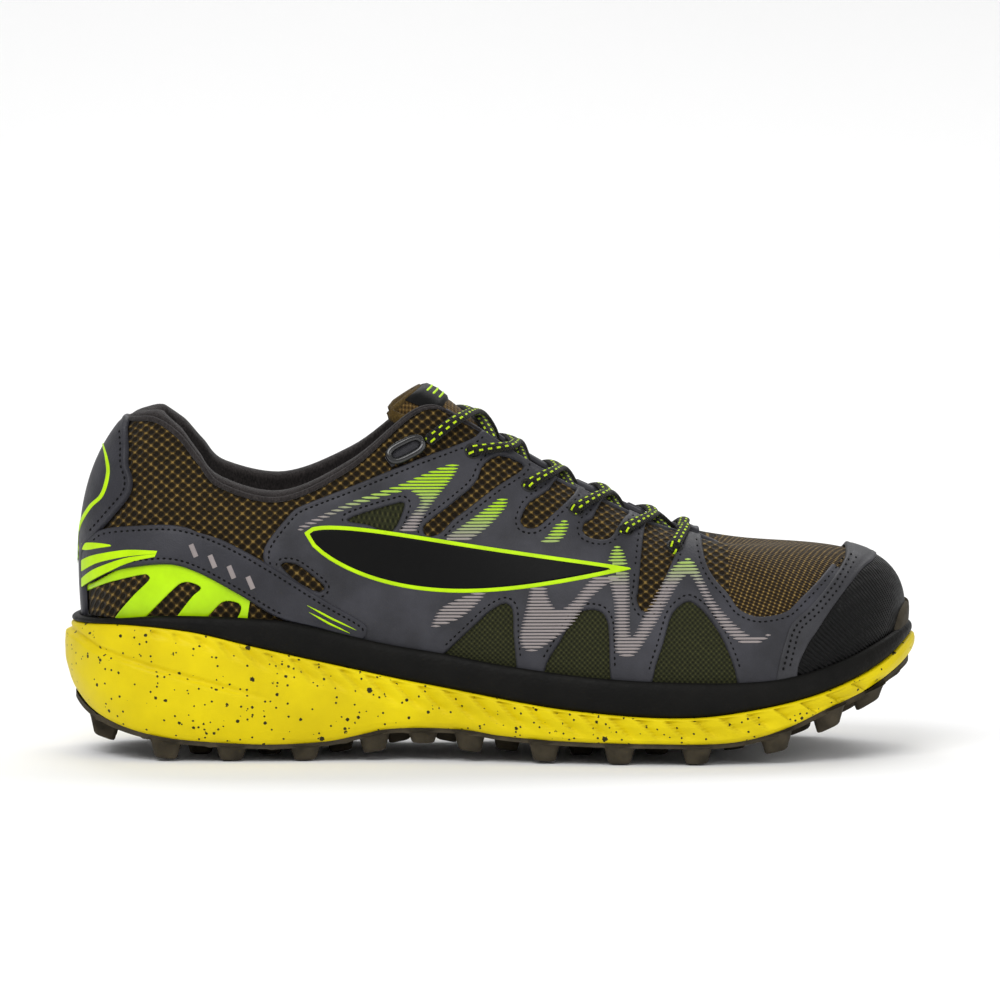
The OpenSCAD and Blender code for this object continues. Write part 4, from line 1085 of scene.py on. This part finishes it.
def tongue():
    nt, nf = 84, 30
    t = np.linspace(0, 11, nt)
    f = np.sin(np.linspace(-math.pi / 2, math.pi / 2, nf))
    T, F = np.meshgrid(t, f, indexing="ij")
    puff = .5 * (1 - np.abs(F) ** 5) ** .5
    end = np.clip((11 - T) / .5, 0, 1) ** .5
    quilt = .06 * np.abs(np.sin(F * math.pi * 1.5)) - .06
    a, _ = tongue_at(T, F, .5 - (puff + quilt) * (.35 + .65 * end))
    b, _ = tongue_at(T, F[:, ::-1], .5 + puff[:, ::-1] * (.35 + .65 * end))
    rows = np.concatenate([a, b[:, 1:-1]], 1)
    size, v = rows.shape[:2], rows.reshape(-1, 3)
    return piece("tongue_pad", v, [grid_faces(*size, True), *end_faces(*size)], M["tongue"], body=None,
                 uv=v[:, :2] * TONGUE_UV, nodes=("tongue_body", "tongue_tip"), slot="tongue_fabric", padded=.7)


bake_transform(tongue())
tt = np.concatenate([np.linspace(2.5, 10.7, 90), np.full(40, 10.85), np.linspace(10.7, 2.5, 90)])
ff = np.concatenate([np.full(90, -.985), np.linspace(-.97, .97, 40), np.full(90, .985)])
path, up = tongue_at(tt, ff, .45 + 0 * tt)
edge = sweep("tongue_binding", path, np.arange(len(path)) * 1.3, up, 1.3, 2.1, 10, M["tongue_edge"], body=None)
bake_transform(edge)


def tongue_patch(name, t0, t1, f0, f1, lift, thick, mat, n=(10, 14), **kw):
    """Thin patch lying on the tongue's top face."""
    T, F = np.meshgrid(np.linspace(t0, t1, n[0]), np.linspace(f0, f1, n[1]), indexing="ij")
    p, up = tongue_at(T, F, 0 * T)
    rim = np.minimum(np.minimum(np.arange(n[0])[:, None], np.arange(n[0])[::-1][:, None]),
                     np.minimum(np.arange(n[1])[None], np.arange(n[1])[::-1][None]))
    p = p + up * (lift + np.where(rim > 0, thick, -.3))[..., None]
    p = p.reshape(-1, 3)
    return piece(name, p, grid_faces(*n), mat, uv=p[:, :2] * TONGUE_UV, **kw)


tongue_patch("tongue_label_patch", 9.15, 10.75, -.8, .8, .1, .55, M["black"], body="tongue_tip", nodes="tongue_label",
             slot="label")
for k, a in enumerate((9.5, 9.85, 10.2)):
    tongue_patch(f"tongue_label_bar_{k}", a, a + .17, -.5, .5, .6, .3, M["lime"], (4, 10), body="tongue_tip")
tongue_patch("lace_keeper_loop", 3.82, 4.3, -.6, .6, .5, .9, M["web"], (8, 16), nodes="lace_keeper", slot="overlay")


# ---------------------------------------------------------------- lace
def on_upper(s, v, side, o):
    u = s if side < 0 else 2 - s
    u, v = np.array([u]), np.array([v])
    return (skin(u, v) + skin_normal(u, v) * o)[0]


def crown(x, rise):
    z = np.interp(-x, [-r[0] for r in TONGUE], [r[1] for r in TONGUE])
    return np.array([x, 2, z + rise])


def rise(k, side):
    """Out through eyelet k and over the edge of the eyestay."""
    e = EYELETS[k]
    return [on_upper(*e, side, -1.5), on_upper(*e, side, 2.9), on_upper(OVER_EDGE[k], RIM_V, side, 2.7)]


def strand(k, side):
    """From eyelet k over the tongue and under the other eyestay's edge; one side crosses over the other."""
    return [*rise(k, side), crown(CROWN[k], 2.0 if side > 0 else 4.2),
            on_upper(UNDER_EDGE[k + 1], RIM_V, -side, -2.4)]


def half(side):
    """One half of the lace, from its tail inside the collar to the last crossing."""
    tail = [on_upper(.63, .62, side, -11), on_upper(.617, .74, side, -10), on_upper(.603, .82, side, -6)]
    return tail + [p for k in range(5) for p in strand(k, side if k % 2 == 0 else -side)]


left = half(-1) + rise(5, 1) + [crown(CROWN[5], 3.6)]
right = half(1) + rise(5, -1)
route = np.array(left + right[::-1])
path, along = smooth_path(route, .8)
centre = np.stack([path[:, 0], 0 * path[:, 0] + 2, np.interp(-path[:, 0], [-r[0] for r in TONGUE],
                                                            [r[1] for r in TONGUE]) - 22], 1)
sweep("lace_cord", path, along, unit((path - centre) * [.25, 1, 1]), 2.15, 1.2, 18, M["lace"], nodes="lace",
      slot="lace_cord")
for sd in (-1, 1):
    for k in range(1, 6):
        s, v = EYELETS[k]
        u = np.array([s if sd < 0 else 2 - s])
        c, n = skin(u, np.array([v]))[0], skin_normal(u, np.array([v]))[0]
        a = unit(np.cross(n, [0, 0, 1.0])[None])[0]
        b = np.cross(n, a)
        t = np.linspace(0, 2 * math.pi, 25)
        ring = c + n * 1.5 + (np.cos(t)[:, None] * a + np.sin(t)[:, None] * b) * 2.5
        sweep(f"{NAMES[sd]}_eyelet_{k}", ring, t * 2.5, np.tile(n, (25, 1)), .55, .4, 8, M["dark"])
    u, v = place(np.array([-30.5]), np.array([108.5]), sd)
    c, n = skin(u, v)[0], skin_normal(u, v)[0]
    a = unit((skin(u + .01 * sd, v) - skin(u, v)))[0]
    b = np.cross(n, a)
    t = np.linspace(0, 2 * math.pi, 49)
    ca, sa = np.cos(t), np.sin(t)
    ring = (c + n * 2.3 + (np.sign(ca) * np.abs(ca) ** .6 * 6.4)[:, None] * a
            + (np.sign(sa) * np.abs(sa) ** .75 * 2.7)[:, None] * b)
    sweep(NAMES[sd] + "_hook_ring", ring, t, np.tile(n, (49, 1)), 1.25, 1.1, 12, M["hook"],
          nodes=NAMES[sd] + "_lace_hook", slot="hook_plastic")
    p = skin(np.clip(u + np.linspace(-.012, .012, 9) * sd, 0, 2), v) + n * .9
    sweep(NAMES[sd] + "_hook_tape", p, np.arange(9.0), np.tile(n, (9, 1)), 2.2, .7, 10, M["thread_grey"])


# ---------------------------------------------------------------- sole
def ring_points(d, z, push=None, count=900):
    """Closed loops round the sole: d and z map x to an inset and a height."""
    s = np.linspace(0, 1, count // 2, endpoint=False)
    s = np.concatenate([s, 1 - s])
    side = np.repeat([-1.0, 1.0], count // 2)
    x0, _ = outline(s, 0 * s)
    dd = d(x0)
    if push is not None:
        dd = dd - push(x0, z(x0))
    x, h = outline(s, dd)
    return np.stack([x, side * h + curve(x, BEND), z(x0)], 1)


def stack(name, rings, mat, **kw):
    return piece(name, np.concatenate(rings), grid_faces(len(rings), len(rings[0]), True), mat, **kw)


CREASE = [(-150, 43.2), (-146, 42), (-138, 38), (-122.5, 33.5), (-99, 27), (-76, 21)]
gx = np.linspace(-160, 160, 641)
pitch = np.interp(gx, [-130, -60, 40, 120], [7.7, 8.9, 9.9, 9.2])
PHASE = np.cumsum(.5 / pitch)


def wall_push(x, z):
    top = curve(x, SIDE_TOP)
    b = top - z
    reach_down = np.interp(x, [-126, -112, -70, -20, 60, 120], [2.5, 4.5, 9, 11, 9.5, 7])
    phase = np.interp(x - 1.15 * b, gx, PHASE)
    saw = phase - np.floor(phase)
    fade = smooth(.5, 1.3, b) * (1 - smooth(.55, 1, b / reach_down)) * smooth(-130, -120, x) * (1 - smooth(126, 136, x))
    slash = -2.0 * fade * (1 - saw) ** 1.7
    crease = np.interp(x, [c[0] for c in CREASE], [c[1] for c in CREASE])
    w = 1 - smooth(-98, -74, x)
    fold = 1.5 * w * (1 - smooth(-.9, .5, z - crease)) * smooth(0, 12, z - curve(x, BASE))
    lip = -.8 * w * np.exp(-((z - crease - .6) / .8) ** 2)
    return slash + fold + lip


def wall_d(t):
    return np.interp(t, [0, .05, .14, .4, .66, .88, .96, 1], [2.2, 1.35, .75, .15, 0, .3, .75, 1.6])


rings = [ring_points(lambda x: 9 + 0 * x, lambda x: curve(x, BASE) + .1)]
for t in np.linspace(0, 1, 50):
    rings.append(ring_points(lambda x, t=t: wall_d(t) + 0 * x,
                             lambda x, t=t: curve(x, BASE) + .1 + (curve(x, SIDE_TOP) - curve(x, BASE) - .1) * t,
                             wall_push if 0 < t < 1 else None))
rings.append(ring_points(lambda x: 8.6 + 0 * x, lambda x: curve(x, SIDE_TOP)))
stack("midsole_yellow_wall", rings, M["yellow"], nodes="midsole_carrier", slot="midsole_yellow")
rings = [ring_points(lambda x: 8 + 0 * x, lambda x: curve(x, SIDE_TOP) - .4, count=560)]
RIM_SHARE = [0, .05, .16, .35, .6, .8, .91, .97, 1]
RIM_INSET = [2.6, 1.75, 1.25, 1.0, 1.1, 1.5, 2.0, 2.6, 3.3]
for t in np.concatenate([np.linspace(0, .9, 15), np.linspace(.92, 1, 6)]):
    rings.append(ring_points(lambda x, t=t: np.interp(t, RIM_SHARE, RIM_INSET) + 0 * x,
                             lambda x, t=t: curve(x, SIDE_TOP) + .05 + (curve(x, FEATHER) - curve(x, SIDE_TOP)) * t,
                             count=560))
rings.append(ring_points(lambda x: 4.2 + 0 * x, lambda x: curve(x, FEATHER) - .5, count=560))
rings.append(ring_points(lambda x: 4.6 + 0 * x, lambda x: np.minimum(shelf(x) + .2, curve(x, FEATHER) - 1), count=560))
rings.append(ring_points(lambda x: 10 + 0 * x, lambda x: shelf(x), count=560))
stack("midsole_black_rim", rings, M["rim"], nodes="midsole_rim", slot="midsole_black")


def slab(name, d, z, mat, skirt, relief=None, **kw):
    """Sheet across the sole inside outline d, with a skirt down or up its edge."""
    s = np.linspace(.002, .998, 260)
    f = np.sin(np.linspace(-math.pi / 2, math.pi / 2, 41))
    x, h = outline(s, d)
    X, F = np.meshgrid(x, f, indexing="ij")
    H = np.repeat(h[:, None], len(f), 1)
    Z = z(X, F)
    if relief is not None:
        Z = Z + relief(X, F * H)
    P = np.stack([X, F * H + curve(X, BEND), Z], -1)
    n = len(f)
    quads = grid_faces(len(s), n)[:, [0, 3, 2, 1]]
    loop_i = np.concatenate([np.arange(len(s)) * n, np.arange(len(s))[::-1] * n + n - 1])
    rim_p = P.reshape(-1, 3)[loop_i]
    extra = [rim_p + [0, 0, q] for q in skirt]
    base = len(s) * n
    m = len(loop_i)
    k = np.arange(m)
    walls = [np.stack([loop_i, loop_i[(k + 1) % m], base + (k + 1) % m, base + k], 1)]
    for r in range(len(skirt) - 1):
        walls.append(np.stack([base + r * m + k, base + r * m + (k + 1) % m, base + (r + 1) * m + (k + 1) % m,
                               base + (r + 1) * m + k], 1))
    v = np.concatenate([P.reshape(-1, 3), *extra])
    uv = v[:, :2] * .001
    return piece(name, v, [quads, np.concatenate(walls)], mat, uv=uv, **kw)


slab("sockliner_pad", 12.6, lambda x, f: curve(x, FLOOR) + 4.6 + 1.6 * np.abs(f) ** 6 * smooth(140, 60, x),
     M["insole"], [-2, -4.6], relief=lambda x, y: -.5 * np.exp(-((np.abs(y) - 14) / .7) ** 2) * (np.abs(x + 20) < 70),
     body="sockliner", nodes="sockliner", slot="insole", padded=.6)
slab("outsole_skin", 2.3, lambda x, f: curve(x, BASE) - 1.8 + .3 * np.abs(f) ** 8, M["rubber"], [.9, 2.0],
     relief=lambda x, y: -.35 * (np.abs(np.mod(x + np.abs(y) * .5, 23) - 11.5) < .9) * (np.abs(y) < 44),
     nodes="outsole", slot="outsole_rubber")


def half_at(x):
    return float(np.where(x > 95, 53 * max(0, 1 - ((x - 95) / 55) ** 2) ** .56,
                          np.where(x > -112, curve(x, MID_HALF), 41 * math.sqrt(max(0, 1 - ((x + 112) / 38) ** 2)))))


def lugs():
    spots = []
    for x in EDGE_LUGS:
        for sd in (-1, 1):
            spots.append((x, sd * (half_at(x) - 9.5) + float(curve(x, BEND)), 13.5, 11.4))
    for a, b in zip(EDGE_LUGS, EDGE_LUGS[1:]):
        x = (a + b) / 2
        for sd in (-1, 1):
            spots.append((x, sd * min(12, half_at(x) / 2.6) + float(curve(x, BEND)), 11.5, 10.8))
    spots += [(-137, y, 10.5, 10.6) for y in (-14, 0, 14)] + [(141, 6, 12, 10.6)]
    k = 28
    a = np.linspace(0, 2 * math.pi, k, endpoint=False)
    ca, sa = np.cos(a), np.sin(a)
    ex, ey = np.sign(ca) * np.abs(ca) ** .42, np.sign(sa) * np.abs(sa) ** .42
    vs, qs, cs, at = [], [], [], 0
    for x, y, w, l in spots:
        low = max(float(curve(x, LUG_BOTTOM)), 0)
        rise = float(curve(x + 4, LUG_BOTTOM) - curve(x - 4, LUG_BOTTOM)) / 8
        rise = 0 if abs(rise) < .03 else rise
        root = float(curve(x, BASE)) - .6
        slope = float(curve(x + 4, BASE) - curve(x - 4, BASE)) / 8
        rings = []
        for t, g in ((0, 1.12), (.08, 1.0), (.3, .9), (.72, .76), (.9, .7), (.97, .62), (1, .5), (.95, .3)):
            px = x + ex * l / 2 * g
            py = y + ey * w / 2 * (g + .06)
            zt = root + slope * (px - x)
            zb = np.maximum(low + rise * (px - x), 0)
            rings.append(np.stack([px, py, zt * (1 - t) + zb * t], 1))
        r = len(rings)
        vs.append(np.concatenate(rings))
        qs.append(grid_faces(r, k, True)[:, [0, 3, 2, 1]] + at)
        cs.append(((r - 1) * k + np.arange(k))[None] + at)
        at += r * k
    piece("outsole_lugs", np.concatenate(vs), [np.concatenate(qs), np.concatenate(cs)], M["rubber"],
          slot="outsole_rubber")


lugs()
for node, m in (("strobel_board", "board"), ("aglets", "aglet")):
    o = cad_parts[node]
    o.data.materials.clear()
    o.data.materials.append(M[m])


# ---------------------------------------------------------------- floor, light, camera
def emitter(name, size, power, at, target, tone=(1, 1, 1)):
    d = bpy.data.lights.new(name, "AREA")
    d.shape = "RECTANGLE"
    d.size, d.size_y = size
    d.energy = power
    d.color = tone
    o = bpy.data.objects.new(name, d)
    o.location = at
    o.rotation_euler = (Vector(target) - Vector(at)).to_track_quat("-Z", "Y").to_euler()
    bpy.context.scene.collection.objects.link(o)


COVE = 1.5
sweep_up = [(1.2 + COVE * math.sin(a), COVE - COVE * math.cos(a)) for a in np.linspace(.1, math.pi / 2, 14)]
xs = [(-6, 0), (1.2, 0), *sweep_up, (2.7, 6)]
v = np.array([[x, y, z] for y, z in xs for x in (-7, 7)]) * 1000.0
white = Mat("floor_pale", .9, .1)
white.color(white.ramp(white.noise(white.solid(), 2, 1), [(.3, "#f2f2f2"), (.7, "#f5f5f5")]))
floor = piece("floor", v - [0, 0, .35], grid_faces(len(xs), 2), white.m, body=None)
emitter("key", (1.6, 1.2), 30, (-.7, -1.5, 1.7), (0, 0, .06))
emitter("fill", (1.6, 1.6), 11, (1.6, -1.6, .9), (0, 0, .06))
emitter("rim", (2.0, .8), 22, (.2, 1.3, 1.6), (0, 0, .06))
world = bpy.data.worlds.new("studio")
bpy.context.scene.world = world
world.use_nodes = True
world.node_tree.nodes["Background"].inputs["Color"].default_value = (1, 1, 1, 1)
world.node_tree.nodes["Background"].inputs["Strength"].default_value = .5
bpy.context.scene.view_settings.view_transform = "Standard"
CAMERA_DISTANCE = 3
target = Vector((.00266, 0, .0885))
cam_data = bpy.data.cameras.new("camera")
cam_data.lens = 305
cam_data.clip_end = 50
cam = bpy.data.objects.new("camera", cam_data)
cam.location = target + Vector((0, -COS, SIN)) * CAMERA_DISTANCE
cam.rotation_euler = (target - cam.location).to_track_quat("-Z", "Y").to_euler()
bpy.context.scene.collection.objects.link(cam)
bpy.context.scene.camera = cam
bpy.context.view_layer.update()
